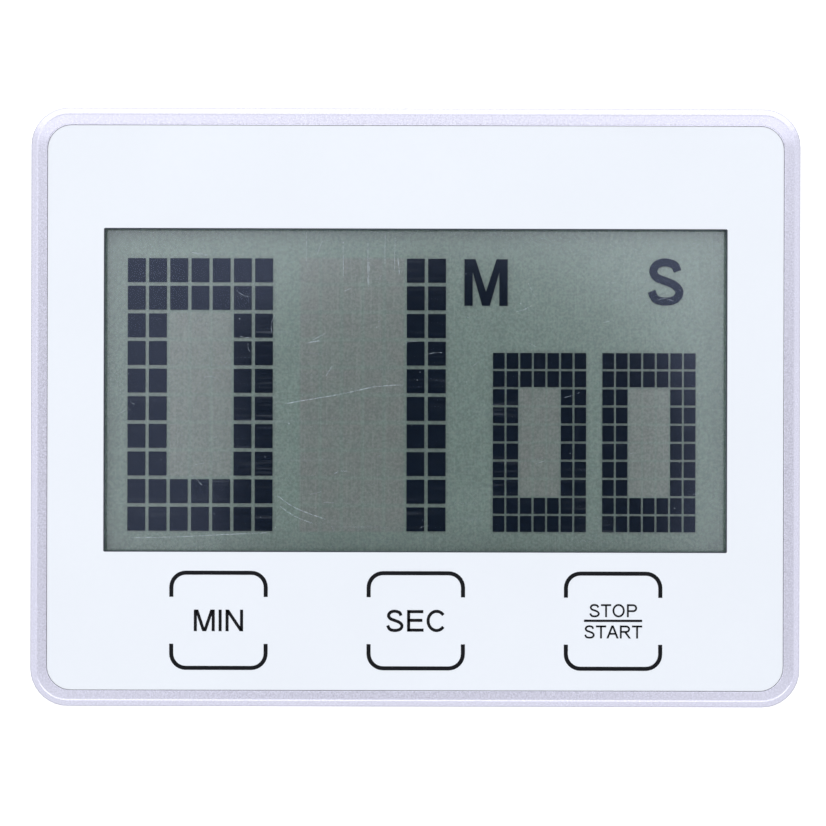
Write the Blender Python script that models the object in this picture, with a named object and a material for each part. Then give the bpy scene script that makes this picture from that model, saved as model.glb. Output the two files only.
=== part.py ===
"""Kitchen timer: a slim digital timer with a block-digit display and three touch keys.

Metres, +Z up. The face looks along -Y and +X is to the viewer's right.
The origin is the middle of the foot: centred in X and Y, with z = 0 on the table.
Every depth is measured back from the rim's front face. Widths, heights and depths are
worked out from the driving dimensions below.
"""

import math

import bmesh
import bpy
from mathutils import Matrix, Vector

MM = 0.001

# ---------------------------------------------------------------- driving dimensions
BODY_WIDTH = 90 * MM
BODY_HEIGHT = 70 * MM
BODY_DEPTH = 17 * MM
CORNER_RADIUS = 4.4 * MM
MIDDLE = BODY_HEIGHT / 2
FACE_Y = -BODY_DEPTH / 2

WALL = 1.6 * MM
FIT_GAP = 0.3 * MM
CLOSE_GAP = 0.15 * MM
THROUGH = 1.0 * MM

# Front shell: a rim whose land slopes outward to a chamfer, a recess for the printed sheet,
# and a floor behind it. The land is widest, and meets the face plane, on the corners' diagonals.
RIM_CHAMFER = 0.75 * MM
RIM_LAND_SIDE = 1.18 * MM
RIM_LAND_TOP = 1.2 * MM
RIM_LAND_CORNER = 1.4 * MM
RIM_SLOPE = math.tan(math.radians(5))
SPLIT_DEPTH = 9.0 * MM
FASCIA_GAP = 0.05 * MM
FASCIA_WIDTH = BODY_WIDTH - 2 * (RIM_CHAMFER + RIM_LAND_SIDE + FASCIA_GAP)
FASCIA_HEIGHT = BODY_HEIGHT - 2 * (RIM_CHAMFER + RIM_LAND_TOP + FASCIA_GAP)
FASCIA_RADIUS = 2.8 * MM
FASCIA_CENTRE = (0.0, MIDDLE - 0.06 * MM)
FASCIA_FRONT = 0.1 * MM
FASCIA_THICKNESS = 0.8 * MM
FLOOR_FRONT = 1.2 * MM
FLOOR_BACK = 2.7 * MM

# Display window and the liquid-crystal cell behind it
WINDOW_WIDTH = 72.9 * MM
WINDOW_HEIGHT = 37.85 * MM
WINDOW_Z = MIDDLE + 2.0 * MM
LENS_MARGIN = 1.15 * MM
LENS_THICKNESS = 1.3 * MM
GLASS_HALF_WIDTH = 38.0 * MM
GLASS_BOTTOM = 16.8 * MM
GLASS_TOP = 60.4 * MM
GLASS_THICKNESS = 0.7 * MM
CONTACT_LEDGE = 3.0 * MM
POLARIZER_FRONT = 2.85 * MM
POLARIZER_THICKNESS = 0.2 * MM
LAYER_GAP = 0.05 * MM

# Circuit board
BOARD_FRONT = 5.3 * MM
BOARD_BACK = 6.3 * MM
BOARD_BOTTOM = 16.4 * MM
BOARD_SHOULDER = 61.0 * MM
BOARD_TOP = 66.8 * MM
BOARD_HALF_WIDTH = 43.1 * MM
BOARD_NECK = 34.5 * MM
SOLDER_GAP = 0.2 * MM
BOARD_SCREWS = [(x * MM, z * MM) for x in (-41.3, 41.3) for z in (20.0, 56.0)]

# Rear shell
REAR_FACE = 16.8 * MM
REAR_FILLET = 2.5 * MM
BACK_WALL = 15.1 * MM
CASE_SCREWS = [(-38.5 * MM, 64.5 * MM), (38.5 * MM, 64.5 * MM), (-32.5 * MM, 6 * MM), (32.5 * MM, 6 * MM)]
SCREW_SEAT = 13.0 * MM

# Folding stand: a U-shaped bail that turns on stubs near the foot of the back
STAND_HALF_WIDTH = 40.2 * MM
STAND_ARM = 4.0 * MM
STAND_FRONT = 14.0 * MM
STAND_BACK = 16.6 * MM
STAND_TOP = 48.0 * MM
STAND_BAR = 4.4 * MM
HINGE_Z = 5.5 * MM
HINGE_DEPTH = (STAND_FRONT + STAND_BACK) / 2
STUB_RADIUS = 0.75 * MM
STUB_LENGTH = 0.9 * MM
CHANNEL_FLOOR = 13.8 * MM
CHANNEL_END = 3.0 * MM
STOP_Z = 4.35 * MM

# Battery: one AAA cell lying across the foot of the case
CELL_RADIUS = 5.2 * MM
CELL_LENGTH = 43.5 * MM
CELL_Z = 8.6 * MM
CELL_DEPTH = 9.85 * MM
CELL_BASE_X = -20.6 * MM
TUB_HALF_LENGTH = 25.2 * MM
TUB_WALL = 1.2 * MM
TUB_BOTTOM = 2.95 * MM
TUB_TOP = 14.25 * MM
TUB_FLOOR = 4.3 * MM
DOOR_HALF_WIDTH = 27.7 * MM
DOOR_TOP = 16.1 * MM
DOOR_FRONT = 15.5 * MM
TONGUE = 0.9 * MM
TONGUE_THICKNESS = 0.6 * MM

# Magnets, buzzer and power switch on the back
MAGNET_RADIUS = 6.0 * MM
MAGNET_X = 14.0 * MM
MAGNET_Z = 28.0 * MM
MAGNET_THICKNESS = 2.5 * MM
BUZZER_X = -20.0 * MM
BUZZER_Z = 58.8 * MM
BUZZER_RADIUS = 8.5 * MM
SWITCH_X = 19.0 * MM
SWITCH_Z = 57.0 * MM
SWITCH_TRAVEL = 2.0 * MM

ROUND_STEPS = 24
CORNER_STEPS = 9

# ---------------------------------------------------------------- materials
# name: (linear base colour, roughness, metallic)
FINISHES = {
    "silver_paint": ((0.62, 0.62, 0.72), 0.38, 0.35),
    "white_print": ((0.88, 0.91, 0.96), 0.25, 0.0),
    "clear_plastic": ((0.85, 0.9, 0.9), 0.05, 0.0),
    "lcd_film": ((0.2, 0.25, 0.24), 0.3, 0.0),
    "glass": ((0.75, 0.85, 0.82), 0.05, 0.0),
    "white_plastic": ((0.8, 0.81, 0.84), 0.45, 0.0),
    "black_rubber": ((0.03, 0.03, 0.03), 0.8, 0.0),
    "tape": ((0.7, 0.68, 0.6), 0.7, 0.0),
    "amber_film": ((0.55, 0.3, 0.06), 0.35, 0.0),
    "green_board": ((0.02, 0.16, 0.06), 0.4, 0.0),
    "black_resin": ((0.02, 0.02, 0.022), 0.5, 0.0),
    "nickel": ((0.7, 0.69, 0.66), 0.25, 1.0),
    "steel": ((0.55, 0.55, 0.56), 0.3, 1.0),
    "brass": ((0.75, 0.55, 0.22), 0.3, 1.0),
    "ceramic": ((0.75, 0.73, 0.68), 0.5, 0.0),
    "cell_wrap": ((0.05, 0.05, 0.06), 0.35, 0.2),
    "red_wire": ((0.55, 0.03, 0.02), 0.45, 0.0),
    "black_wire": ((0.02, 0.02, 0.02), 0.45, 0.0),
}


def finish(name):
    """The Principled material of that finish, made once."""
    made = bpy.data.materials.get(name)
    if made:
        return made
    colour, roughness, metallic = FINISHES[name]
    made = bpy.data.materials.new(name)
    made.use_nodes = True
    shader = made.node_tree.nodes["Principled BSDF"]
    shader.inputs["Base Color"].default_value = (*colour, 1.0)
    shader.inputs["Roughness"].default_value = roughness
    shader.inputs["Metallic"].default_value = metallic
    return made


# ---------------------------------------------------------------- outlines
def rounded_rect(width, height, radius, centre=(0.0, MIDDLE), steps=CORNER_STEPS):
    """Corner points, anticlockwise, of a rectangle with round corners."""
    points = []
    for corner in range(4):
        across = 1 if corner in (0, 3) else -1
        up = 1 if corner in (0, 1) else -1
        middle_x = centre[0] + across * (width / 2 - radius)
        middle_z = centre[1] + up * (height / 2 - radius)
        for step in range(steps + 1):
            angle = math.radians(90) * (corner + step / steps)
            points.append((middle_x + radius * math.cos(angle), middle_z + radius * math.sin(angle)))
    return points


def rect(x0, x1, z0, z1):
    return [(x0, z0), (x1, z0), (x1, z1), (x0, z1)]


def circle(radius, centre, steps=ROUND_STEPS):
    turn = 2 * math.pi / steps
    return [
        (centre[0] + radius * math.cos(turn * i), centre[1] + radius * math.sin(turn * i))
        for i in range(steps)
    ]


def body_outline(inset=0.0):
    """The case's outline, drawn in by an inset."""
    return rounded_rect(BODY_WIDTH - 2 * inset, BODY_HEIGHT - 2 * inset, CORNER_RADIUS - inset)


def bail_outline(half_width, arm, bottom, top, bar):
    """An upside-down U: two arms and a bar across their top."""
    inner = half_width - arm
    return [
        (-half_width, bottom),
        (-inner, bottom),
        (-inner, top - bar),
        (inner, top - bar),
        (inner, bottom),
        (half_width, bottom),
        (half_width, top),
        (-half_width, top),
    ]


# ---------------------------------------------------------------- solids
def point_on(axis, along, a, b):
    """A point from its place along an axis and its two places across it. Y places are depths."""
    if axis == "Y":
        return Vector((a, FACE_Y + along, b))
    if axis == "X":
        return Vector((along, FACE_Y + a, b))
    return Vector((a, FACE_Y + b, along))


def loft(name, sections, material=None, axis="Y", smooth=30):
    """A closed solid through outlines at places along an axis. With no material it is a helper."""
    mesh = bpy.data.meshes.new(name)
    shape = bmesh.new()
    rings = [
        [shape.verts.new(point_on(axis, along, a, b)) for a, b in outline]
        for along, outline in sections
    ]
    shape.faces.new(rings[0])
    shape.faces.new(rings[-1])
    count = len(rings[0])
    for near, far in zip(rings, rings[1:], strict=False):
        for i in range(count):
            j = (i + 1) % count
            shape.faces.new((near[i], near[j], far[j], far[i]))
    bmesh.ops.recalc_face_normals(shape, faces=shape.faces)
    shape.to_mesh(mesh)
    shape.free()
    mesh.shade_smooth()
    mesh.set_sharp_from_angle(angle=math.radians(smooth))
    return placed(bpy.data.objects.new(name, mesh), material)


def placed(thing, material):
    """Puts an object in the scene: a part with its material, or a hidden helper."""
    bpy.context.scene.collection.objects.link(thing)
    if material:
        thing.data.materials.append(finish(material))
    else:
        thing.hide_render = True
        thing.display_type = "WIRE"
    return thing


def prism(name, outline, front, back, material=None, axis="Y"):
    return loft(name, [(front, outline), (back, outline)], material, axis)


def block(name, x, depth, z, material=None):
    """A box from its (low, high) pairs in X, depth and Z."""
    return prism(name, rect(*x, *z), *depth, material)


def rod(name, radius, centre, span, material=None, axis="Y", steps=ROUND_STEPS):
    return prism(name, circle(radius, centre, steps), *span, material, axis)


def tube_along(name, points, radius, material, sides=2):
    """A round wire along points given as (x, depth, z)."""
    path = bpy.data.curves.new(name, "CURVE")
    path.dimensions = "3D"
    path.bevel_depth = radius
    path.bevel_resolution = sides
    path.use_fill_caps = True
    line = path.splines.new("POLY")
    line.points.add(len(points) - 1)
    for spot, (x, depth, z) in zip(line.points, points, strict=True):
        spot.co = (x, FACE_Y + depth, z, 1.0)
    return placed(bpy.data.objects.new(name, path), material)


def smooth_route(corners, count):
    """Points along a cubic Bezier through four control points."""
    a, b, c, d = (Vector(corner) for corner in corners)
    route = []
    for i in range(count):
        t = i / (count - 1)
        s = 1 - t
        route.append(a * s**3 + b * 3 * s * s * t + c * 3 * s * t * t + d * t**3)
    return route


def combine(part, operation, *tools):
    for tool in tools:
        step = part.modifiers.new(tool.name, "BOOLEAN")
        step.operation = operation
        step.solver = "EXACT"
        step.object = tool


def cut(part, *tools):
    combine(part, "DIFFERENCE", *tools)


def join(part, *tools):
    combine(part, "UNION", *tools)


def hang_on(name, origin, *parts):
    """Parents parts to an empty on their joint's axis, without moving them."""
    joint = bpy.data.objects.new(name, None)
    bpy.context.scene.collection.objects.link(joint)
    joint.location = origin
    for part in parts:
        part.parent = joint
        part.matrix_parent_inverse = Matrix.Translation(-origin)


# ---------------------------------------------------------------- front shell
def make_front_case():
    drop = RIM_LAND_CORNER * RIM_SLOPE
    spare = 0.2 * MM
    case = loft(
        "front_case",
        [
            (-spare * RIM_SLOPE, body_outline(RIM_CHAMFER + RIM_LAND_CORNER + spare)),
            (drop, body_outline(RIM_CHAMFER)),
            (drop + RIM_CHAMFER, body_outline()),
            (SPLIT_DEPTH, body_outline()),
        ],
        "silver_paint",
    )
    recess = rounded_rect(
        FASCIA_WIDTH + 2 * FASCIA_GAP,
        FASCIA_HEIGHT + 2 * FASCIA_GAP,
        FASCIA_RADIUS + FASCIA_GAP,
        FASCIA_CENTRE,
    )
    opening = rounded_rect(
        WINDOW_WIDTH + 2 * (LENS_MARGIN + 0.2 * MM),
        WINDOW_HEIGHT + 2 * (LENS_MARGIN + 0.2 * MM),
        0.5 * MM,
        (0.0, WINDOW_Z),
        steps=3,
    )
    cut(
        case,
        prism("fascia_recess_cut", recess, -THROUGH, FLOOR_FRONT),
        prism("window_cut", opening, FLOOR_FRONT - THROUGH, FLOOR_BACK + THROUGH),
        prism("front_cavity_cut", body_outline(WALL), FLOOR_BACK, SPLIT_DEPTH + THROUGH),
        block(
            "film_slot_cut",
            (29.6 * MM, 34.4 * MM),
            (FLOOR_FRONT - THROUGH, FLOOR_BACK + THROUGH),
            (14.0 * MM, 15.0 * MM),
        ),
    )
    root = FLOOR_BACK - 0.2 * MM
    for number, spot in enumerate(CASE_SCREWS, 1):
        join(case, rod(f"case_boss_{number}", 2.5 * MM, spot, (root, SPLIT_DEPTH + 0.6 * MM)))
        cut(
            case, rod(f"case_pilot_{number}", 1.25 * MM, spot, (4.2 * MM, SPLIT_DEPTH + 2 * MM), steps=16)
        )
    for number, spot in enumerate(BOARD_SCREWS, 1):
        join(case, rod(f"board_post_{number}", 1.7 * MM, spot, (root, BOARD_FRONT - 0.1 * MM), steps=16))
        cut(
            case,
            rod(f"board_pilot_{number}", 0.9 * MM, spot, (3.0 * MM, BOARD_FRONT + THROUGH), steps=12),
        )


def make_fascia():
    back = FASCIA_FRONT + FASCIA_THICKNESS
    panel = prism(
        "fascia_panel",
        rounded_rect(FASCIA_WIDTH, FASCIA_HEIGHT, FASCIA_RADIUS, FASCIA_CENTRE),
        FASCIA_FRONT,
        back,
        "white_print",
    )
    window = rounded_rect(WINDOW_WIDTH, WINDOW_HEIGHT, 0.15 * MM, (0.0, WINDOW_Z), steps=2)
    cut(panel, prism("fascia_window_cut", window, -THROUGH, back + THROUGH))

    tape_front = back + LAYER_GAP
    tape_back = tape_front + CLOSE_GAP
    tape = prism(
        "fascia_tape",
        rounded_rect(FASCIA_WIDTH - 1 * MM, FASCIA_HEIGHT - 1 * MM, 2.3 * MM, FASCIA_CENTRE, steps=5),
        tape_front,
        tape_back,
        "tape",
    )
    cut(
        tape,
        block(
            "tape_window_cut",
            (-WINDOW_WIDTH / 2 - 0.5 * MM, WINDOW_WIDTH / 2 + 0.5 * MM),
            (0, FLOOR_BACK),
            (WINDOW_Z - WINDOW_HEIGHT / 2 - 0.5 * MM, WINDOW_Z + WINDOW_HEIGHT / 2 + 0.5 * MM),
        ),
        block("tape_film_cut", (-34.5 * MM, 34.5 * MM), (0, FLOOR_BACK), (3.1 * MM, 17.0 * MM)),
    )

    lens_front = FLOOR_FRONT
    lens = rounded_rect(
        WINDOW_WIDTH + 2 * LENS_MARGIN, WINDOW_HEIGHT + 2 * LENS_MARGIN, 0.3 * MM, (0.0, WINDOW_Z), steps=2
    )
    prism("display_lens", lens, lens_front, lens_front + LENS_THICKNESS, "clear_plastic")
    make_touch_film(tape_front, tape_back)


def make_touch_film(front, back):
    """Electrode film behind the keys. Its tail bends back through the floor and up to the board."""
    thickness = back - front
    tail_z = 14.5 * MM
    tail_depth = 7.2 * MM
    tail_top = 18.4 * MM
    film = block("touch_film", (-34 * MM, 34 * MM), (front, back), (3.4 * MM, 16.6 * MM), "amber_film")
    side = [
        (front + thickness / 2, tail_z),
        (tail_depth + thickness, tail_z),
        (tail_depth + thickness, tail_top),
        (tail_depth, tail_top),
        (tail_depth, tail_z + thickness),
        (front + thickness / 2, tail_z + thickness),
    ]
    join(film, prism("film_tail", side, 30 * MM, 34 * MM, axis="X"))
    connector = block(
        "film_connector",
        (28.5 * MM, 35.5 * MM),
        (BOARD_BACK + SOLDER_GAP, BOARD_BACK + 2 * MM),
        (17.4 * MM, 21.4 * MM),
        "white_plastic",
    )
    cut(
        connector,
        block(
            "film_connector_slot",
            (29.6 * MM, 34.4 * MM),
            (tail_depth - CLOSE_GAP, tail_depth + thickness + CLOSE_GAP),
            (16 * MM, tail_top + FIT_GAP),
        ),
    )


# ---------------------------------------------------------------- display
def make_display():
    half = GLASS_HALF_WIDTH
    film_half = half - 0.4 * MM
    cell_top = GLASS_TOP - CONTACT_LEDGE
    depth = POLARIZER_FRONT
    layers = [
        (
            "lcd_front_polarizer",
            film_half,
            GLASS_BOTTOM + 0.4 * MM,
            cell_top - 0.2 * MM,
            POLARIZER_THICKNESS,
            "lcd_film",
        ),
        ("lcd_front_glass", half, GLASS_BOTTOM, GLASS_TOP, GLASS_THICKNESS, "glass"),
        ("lcd_rear_glass", half, GLASS_BOTTOM, cell_top, GLASS_THICKNESS, "glass"),
        (
            "lcd_rear_polarizer",
            film_half,
            GLASS_BOTTOM + 0.4 * MM,
            cell_top - 0.2 * MM,
            POLARIZER_THICKNESS,
            "nickel",
        ),
    ]
    for name, half_width, bottom, top, thickness, material in layers:
        block(name, (-half_width, half_width), (depth, depth + thickness), (bottom, top), material)
        depth += thickness + LAYER_GAP
    ledge_depth = POLARIZER_FRONT + POLARIZER_THICKNESS + GLASS_THICKNESS + 2 * LAYER_GAP
    block(
        "zebra_strip",
        (-36 * MM, 36 * MM),
        (ledge_depth, BOARD_FRONT - CLOSE_GAP),
        (cell_top + 0.5 * MM, GLASS_TOP - FIT_GAP),
        "black_rubber",
    )
    slack = 0.2 * MM
    frame = slack + 1.0 * MM
    holder = block(
        "lcd_holder",
        (-half - frame, half + frame),
        (FLOOR_BACK + 0.2 * MM, BOARD_FRONT - 0.2 * MM),
        (GLASS_BOTTOM - frame, GLASS_TOP + frame),
        "white_plastic",
    )
    cut(
        holder,
        block(
            "lcd_holder_cut",
            (-half - slack, half + slack),
            (0, BOARD_BACK),
            (GLASS_BOTTOM - slack, GLASS_TOP + slack),
        ),
    )


# ---------------------------------------------------------------- circuit board
def make_board():
    outline = [
        (-BOARD_HALF_WIDTH, BOARD_BOTTOM),
        (BOARD_HALF_WIDTH, BOARD_BOTTOM),
        (BOARD_HALF_WIDTH, BOARD_SHOULDER),
        (BOARD_NECK, BOARD_SHOULDER),
        (BOARD_NECK, BOARD_TOP),
        (-BOARD_NECK, BOARD_TOP),
        (-BOARD_NECK, BOARD_SHOULDER),
        (-BOARD_HALF_WIDTH, BOARD_SHOULDER),
    ]
    board = prism("main_board", outline, BOARD_FRONT, BOARD_BACK, "green_board")
    for number, spot in enumerate(BOARD_SCREWS, 1):
        cut(
            board,
            rod(
                f"board_hole_{number}",
                1.0 * MM,
                spot,
                (BOARD_FRONT - THROUGH, BOARD_BACK + THROUGH),
                steps=12,
            ),
        )
        make_screw(
            f"board_screw_{number}", spot, 3.4 * MM, BOARD_BACK + 0.1 * MM, 0.75 * MM, 1.4 * MM, 0.8 * MM
        )
    make_components(BOARD_BACK + SOLDER_GAP)


def make_screw(name, spot, tip, seat, shank_radius, head_radius, head_height):
    """A pan-head screw driven from the back: tapered tip, shank, crowned head with a cross recess."""
    taper = 2 * shank_radius
    screw = loft(
        name,
        [
            (tip, circle(0.3 * shank_radius, spot, 16)),
            (tip + taper, circle(shank_radius, spot, 16)),
            (seat, circle(shank_radius, spot, 16)),
            (seat, circle(head_radius, spot, 16)),
            (seat + 0.6 * head_height, circle(head_radius, spot, 16)),
            (seat + head_height, circle(0.7 * head_radius, spot, 16)),
        ],
        "steel",
    )
    slot = 0.14 * head_radius
    reach = 0.6 * head_radius
    floor = seat + 0.5 * head_height
    back = seat + head_height + THROUGH
    x, z = spot
    cross = block(name + "_slot_a", (x - slot, x + slot), (floor, back), (z - reach, z + reach))
    join(cross, block(name + "_slot_b", (x - reach, x + reach), (floor, back), (z - slot, z + slot)))
    cut(screw, cross)


def make_components(base):
    """What is soldered on the back of the board."""
    dome = []
    for degrees in (0, 20, 40, 60, 78):
        height = 1.5 * MM * math.sin(math.radians(degrees))
        radius = 6 * MM * math.cos(math.radians(degrees))
        dome.append((base + height, circle(radius, (0, 38 * MM))))
    loft("controller_blob", dome, "black_resin", smooth=60)

    chip_x, chip_z = -14 * MM, 27 * MM
    chip = block(
        "touch_chip",
        (chip_x - 2.5 * MM, chip_x + 2.5 * MM),
        (base, base + 1.5 * MM),
        (chip_z - 2 * MM, chip_z + 2 * MM),
        "black_resin",
    )
    for i in range(4):
        leg = chip_x + (i - 1.5) * 1.27 * MM
        join(
            chip,
            block(
                f"chip_legs_{i}",
                (leg - 0.2 * MM, leg + 0.2 * MM),
                (base, base + 0.5 * MM),
                (chip_z - 3 * MM, chip_z + 3 * MM),
            ),
        )

    rod(
        "crystal_can",
        1.0 * MM,
        (base + 1.0 * MM, 27 * MM),
        (9 * MM, 15 * MM),
        "nickel",
        axis="X",
        steps=16,
    )
    rod("capacitor_can", 2.0 * MM, (27 * MM, 40 * MM), (base, base + 4.5 * MM), "nickel", steps=20)
    coil = [(0.0, 2.6), (0.6, 2.6), (0.6, 1.9), (3.4, 1.9), (3.4, 2.6), (4.0, 2.6)]
    loft(
        "boost_coil",
        [(base + d * MM, circle(r * MM, (-27 * MM, 40 * MM), 20)) for d, r in coil],
        "black_resin",
    )
    block(
        "transistor", (-22 * MM, -19 * MM), (base, base + 1.0 * MM), (30.2 * MM, 31.6 * MM), "black_resin"
    )


# ---------------------------------------------------------------- power switch
def make_switch():
    board = BOARD_BACK + SOLDER_GAP
    body_top = 10.0 * MM
    middle = SWITCH_X + SWITCH_TRAVEL / 2
    body = block(
        "switch_body",
        (middle - 4.3 * MM, middle + 4.3 * MM),
        (board, body_top),
        (SWITCH_Z - 1.8 * MM, SWITCH_Z + 1.8 * MM),
        "steel",
    )
    lever_half = 0.75 * MM
    slot_half = lever_half + SWITCH_TRAVEL / 2 + FIT_GAP
    cut(
        body,
        block(
            "switch_body_slot",
            (middle - slot_half, middle + slot_half),
            (body_top - 1.2 * MM, body_top + THROUGH),
            (SWITCH_Z - 0.95 * MM, SWITCH_Z + 0.95 * MM),
        ),
    )
    lever = block(
        "switch_lever",
        (SWITCH_X - lever_half, SWITCH_X + lever_half),
        (body_top - 0.8 * MM, 12.6 * MM),
        (SWITCH_Z - 0.6 * MM, SWITCH_Z + 0.6 * MM),
        "black_resin",
    )

    knob_back = 16.6 * MM
    stem = 1.7 * MM
    knob = block(
        "switch_knob",
        (SWITCH_X - stem, SWITCH_X + stem),
        (11.2 * MM, knob_back),
        (SWITCH_Z - 1.3 * MM, SWITCH_Z + 1.3 * MM),
        "black_resin",
    )
    join(
        knob,
        block(
            "knob_flange",
            (SWITCH_X - 4.5 * MM, SWITCH_X + 4.5 * MM),
            (14.0 * MM, BACK_WALL - FIT_GAP),
            (SWITCH_Z - 2.8 * MM, SWITCH_Z + 2.8 * MM),
        ),
    )
    cut(
        knob,
        block(
            "knob_socket",
            (SWITCH_X - 0.95 * MM, SWITCH_X + 0.95 * MM),
            (10 * MM, 13 * MM),
            (SWITCH_Z - 0.8 * MM, SWITCH_Z + 0.8 * MM),
        ),
    )
    for i in (-1, 0, 1):
        groove = SWITCH_X + i * 0.95 * MM
        cut(
            knob,
            block(
                f"knob_groove_{i + 2}",
                (groove - 0.2 * MM, groove + 0.2 * MM),
                (knob_back - 0.35 * MM, knob_back + THROUGH),
                (SWITCH_Z - 2 * MM, SWITCH_Z + 2 * MM),
            ),
        )
    hang_on("switch_slide", Vector((SWITCH_X, FACE_Y + knob_back, SWITCH_Z)), knob, lever)


# ---------------------------------------------------------------- rear shell
def rear_envelope(name, material=None):
    """The rear shell's outside: straight sides and a round edge at the back."""
    start = SPLIT_DEPTH + FIT_GAP
    sections = [(start, body_outline())]
    turns = 5
    for i in range(turns + 1):
        angle = math.radians(90) * i / turns
        inset = REAR_FILLET * (1 - math.cos(angle))
        depth = REAR_FACE - REAR_FILLET * (1 - math.sin(angle))
        sections.append((depth, body_outline(inset)))
    return loft(name, sections, material, smooth=40)


def make_rear_cover():
    cover = rear_envelope("rear_cover", "silver_paint")
    lip_front = 7.8 * MM
    step = 10.4 * MM
    lip = WALL + FIT_GAP
    wide = body_outline(WALL)
    narrow = body_outline(lip + 0.9 * MM)
    join(cover, prism("locating_lip", body_outline(lip), lip_front, SPLIT_DEPTH + 0.6 * MM))
    cut(cover, prism("lip_cavity_cut", narrow, lip_front - THROUGH, step + 0.2 * MM))
    cut(cover, prism("rear_cavity_cut", wide, step, BACK_WALL))
    add_stand_channel(cover)
    add_battery_tub(cover)
    add_screw_tubes(cover)
    add_magnet_pockets(cover)
    add_buzzer_seat(cover)
    add_switch_slot(cover)


def add_stand_channel(cover):
    """A U-shaped channel for the bail, with stub holes, a finger scoop and lips that stop it open."""
    inside = BACK_WALL + 0.2 * MM
    half = STAND_HALF_WIDTH + FIT_GAP
    width = STAND_ARM + 2 * FIT_GAP
    shelf = 1.2 * MM
    outer = BODY_WIDTH / 2 - WALL + 0.4 * MM
    boss = bail_outline(
        outer,
        outer - half + width + shelf,
        1.0 * MM,
        STAND_TOP + FIT_GAP + shelf,
        STAND_BAR + 2 * FIT_GAP + 2 * shelf,
    )
    walls = prism("channel_boss", boss, CHANNEL_FLOOR - shelf, inside)
    combine(
        walls,
        "INTERSECT",
        prism("channel_limit", body_outline(0.5 * MM), CHANNEL_FLOOR - 2 * shelf, REAR_FACE),
    )
    join(cover, walls)
    scoop_z = STAND_TOP + 1 * MM
    join(
        cover,
        block(
            "scoop_boss", (-8 * MM, 8 * MM), (13.6 * MM, inside), (STAND_TOP - 1 * MM, scoop_z + 7 * MM)
        ),
    )
    channel = bail_outline(half, width, CHANNEL_END, STAND_TOP + FIT_GAP, STAND_BAR + 2 * FIT_GAP)
    cut(cover, prism("channel_cut", channel, CHANNEL_FLOOR, REAR_FACE + THROUGH))
    for side, name in ((-1, "left"), (1, "right")):
        ends = sorted((side * (half - 0.5 * MM), side * (half + STUB_LENGTH)))
        cut(
            cover,
            rod(
                f"stub_hole_{name}",
                STUB_RADIUS + 0.2 * MM,
                (HINGE_DEPTH, HINGE_Z),
                ends,
                axis="X",
                steps=16,
            ),
        )
        lip = sorted((side * (half - width - 0.5 * MM), side * (half + 0.5 * MM)))
        join(
            cover,
            block(
                f"stand_stop_{name}",
                lip,
                (REAR_FACE - 0.45 * MM, REAR_FACE),
                (CHANNEL_END - 0.3 * MM, STOP_Z),
            ),
        )
    cut(cover, rod("scoop_cut", 6 * MM, (0, scoop_z), (14.7 * MM, REAR_FACE + THROUGH)))


def add_battery_tub(cover):
    """The cell's tub, which reaches forward into the front shell, and the seat and grooves for its door."""
    outer = TUB_HALF_LENGTH + TUB_WALL
    inside = BACK_WALL + 0.2 * MM
    seat = DOOR_FRONT - 0.2 * MM
    frame = DOOR_HALF_WIDTH + TONGUE + FIT_GAP + 0.6 * MM
    past = REAR_FACE + THROUGH
    join(
        cover,
        block(
            "tub_block", (-outer, outer), (TUB_FLOOR - 1 * MM, inside), (1.9 * MM, TUB_TOP + 0.85 * MM)
        ),
    )
    join(cover, block("door_frame", (-frame, frame), (13.9 * MM, inside), (1.0 * MM, 19.0 * MM)))
    cut(
        cover,
        block("tub_cut", (-TUB_HALF_LENGTH, TUB_HALF_LENGTH), (TUB_FLOOR, past), (TUB_BOTTOM, TUB_TOP)),
        block(
            "door_seat_cut",
            (-DOOR_HALF_WIDTH - FIT_GAP, DOOR_HALF_WIDTH + FIT_GAP),
            (seat, past),
            (-THROUGH, DOOR_TOP + FIT_GAP),
        ),
        block(
            "door_groove_cut",
            (-DOOR_HALF_WIDTH - TONGUE - FIT_GAP, DOOR_HALF_WIDTH + TONGUE + FIT_GAP),
            (seat + 0.05 * MM, DOOR_FRONT + TONGUE_THICKNESS + CLOSE_GAP),
            (-THROUGH, 14.5 * MM),
        ),
        block(
            "latch_pocket_cut",
            (-4.4 * MM, 4.4 * MM),
            (seat + 0.05 * MM, DOOR_FRONT + TONGUE_THICKNESS + CLOSE_GAP),
            (DOOR_TOP - THROUGH, DOOR_TOP + 1.6 * MM),
        ),
        block(
            "positive_tab_slot",
            (23.85 * MM, 24.75 * MM),
            (6.7 * MM, 9.8 * MM),
            (TUB_TOP - THROUGH, TUB_TOP + 2 * MM),
        ),
        block(
            "negative_tab_slot",
            (-25.5 * MM, -24.3 * MM),
            (CELL_DEPTH - 0.8 * MM, CELL_DEPTH + 0.8 * MM),
            (TUB_TOP - THROUGH, TUB_TOP + 2 * MM),
        ),
    )


def add_screw_tubes(cover):
    for number, spot in enumerate(CASE_SCREWS, 1):
        join(cover, rod(f"screw_tube_{number}", 3.4 * MM, spot, (9.9 * MM, BACK_WALL + 0.2 * MM)))
        cut(cover, rod(f"screw_well_{number}", 2.6 * MM, spot, (SCREW_SEAT, REAR_FACE + THROUGH)))
        cut(cover, rod(f"screw_hole_{number}", 1.4 * MM, spot, (9 * MM, SCREW_SEAT + THROUGH), steps=16))


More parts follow.
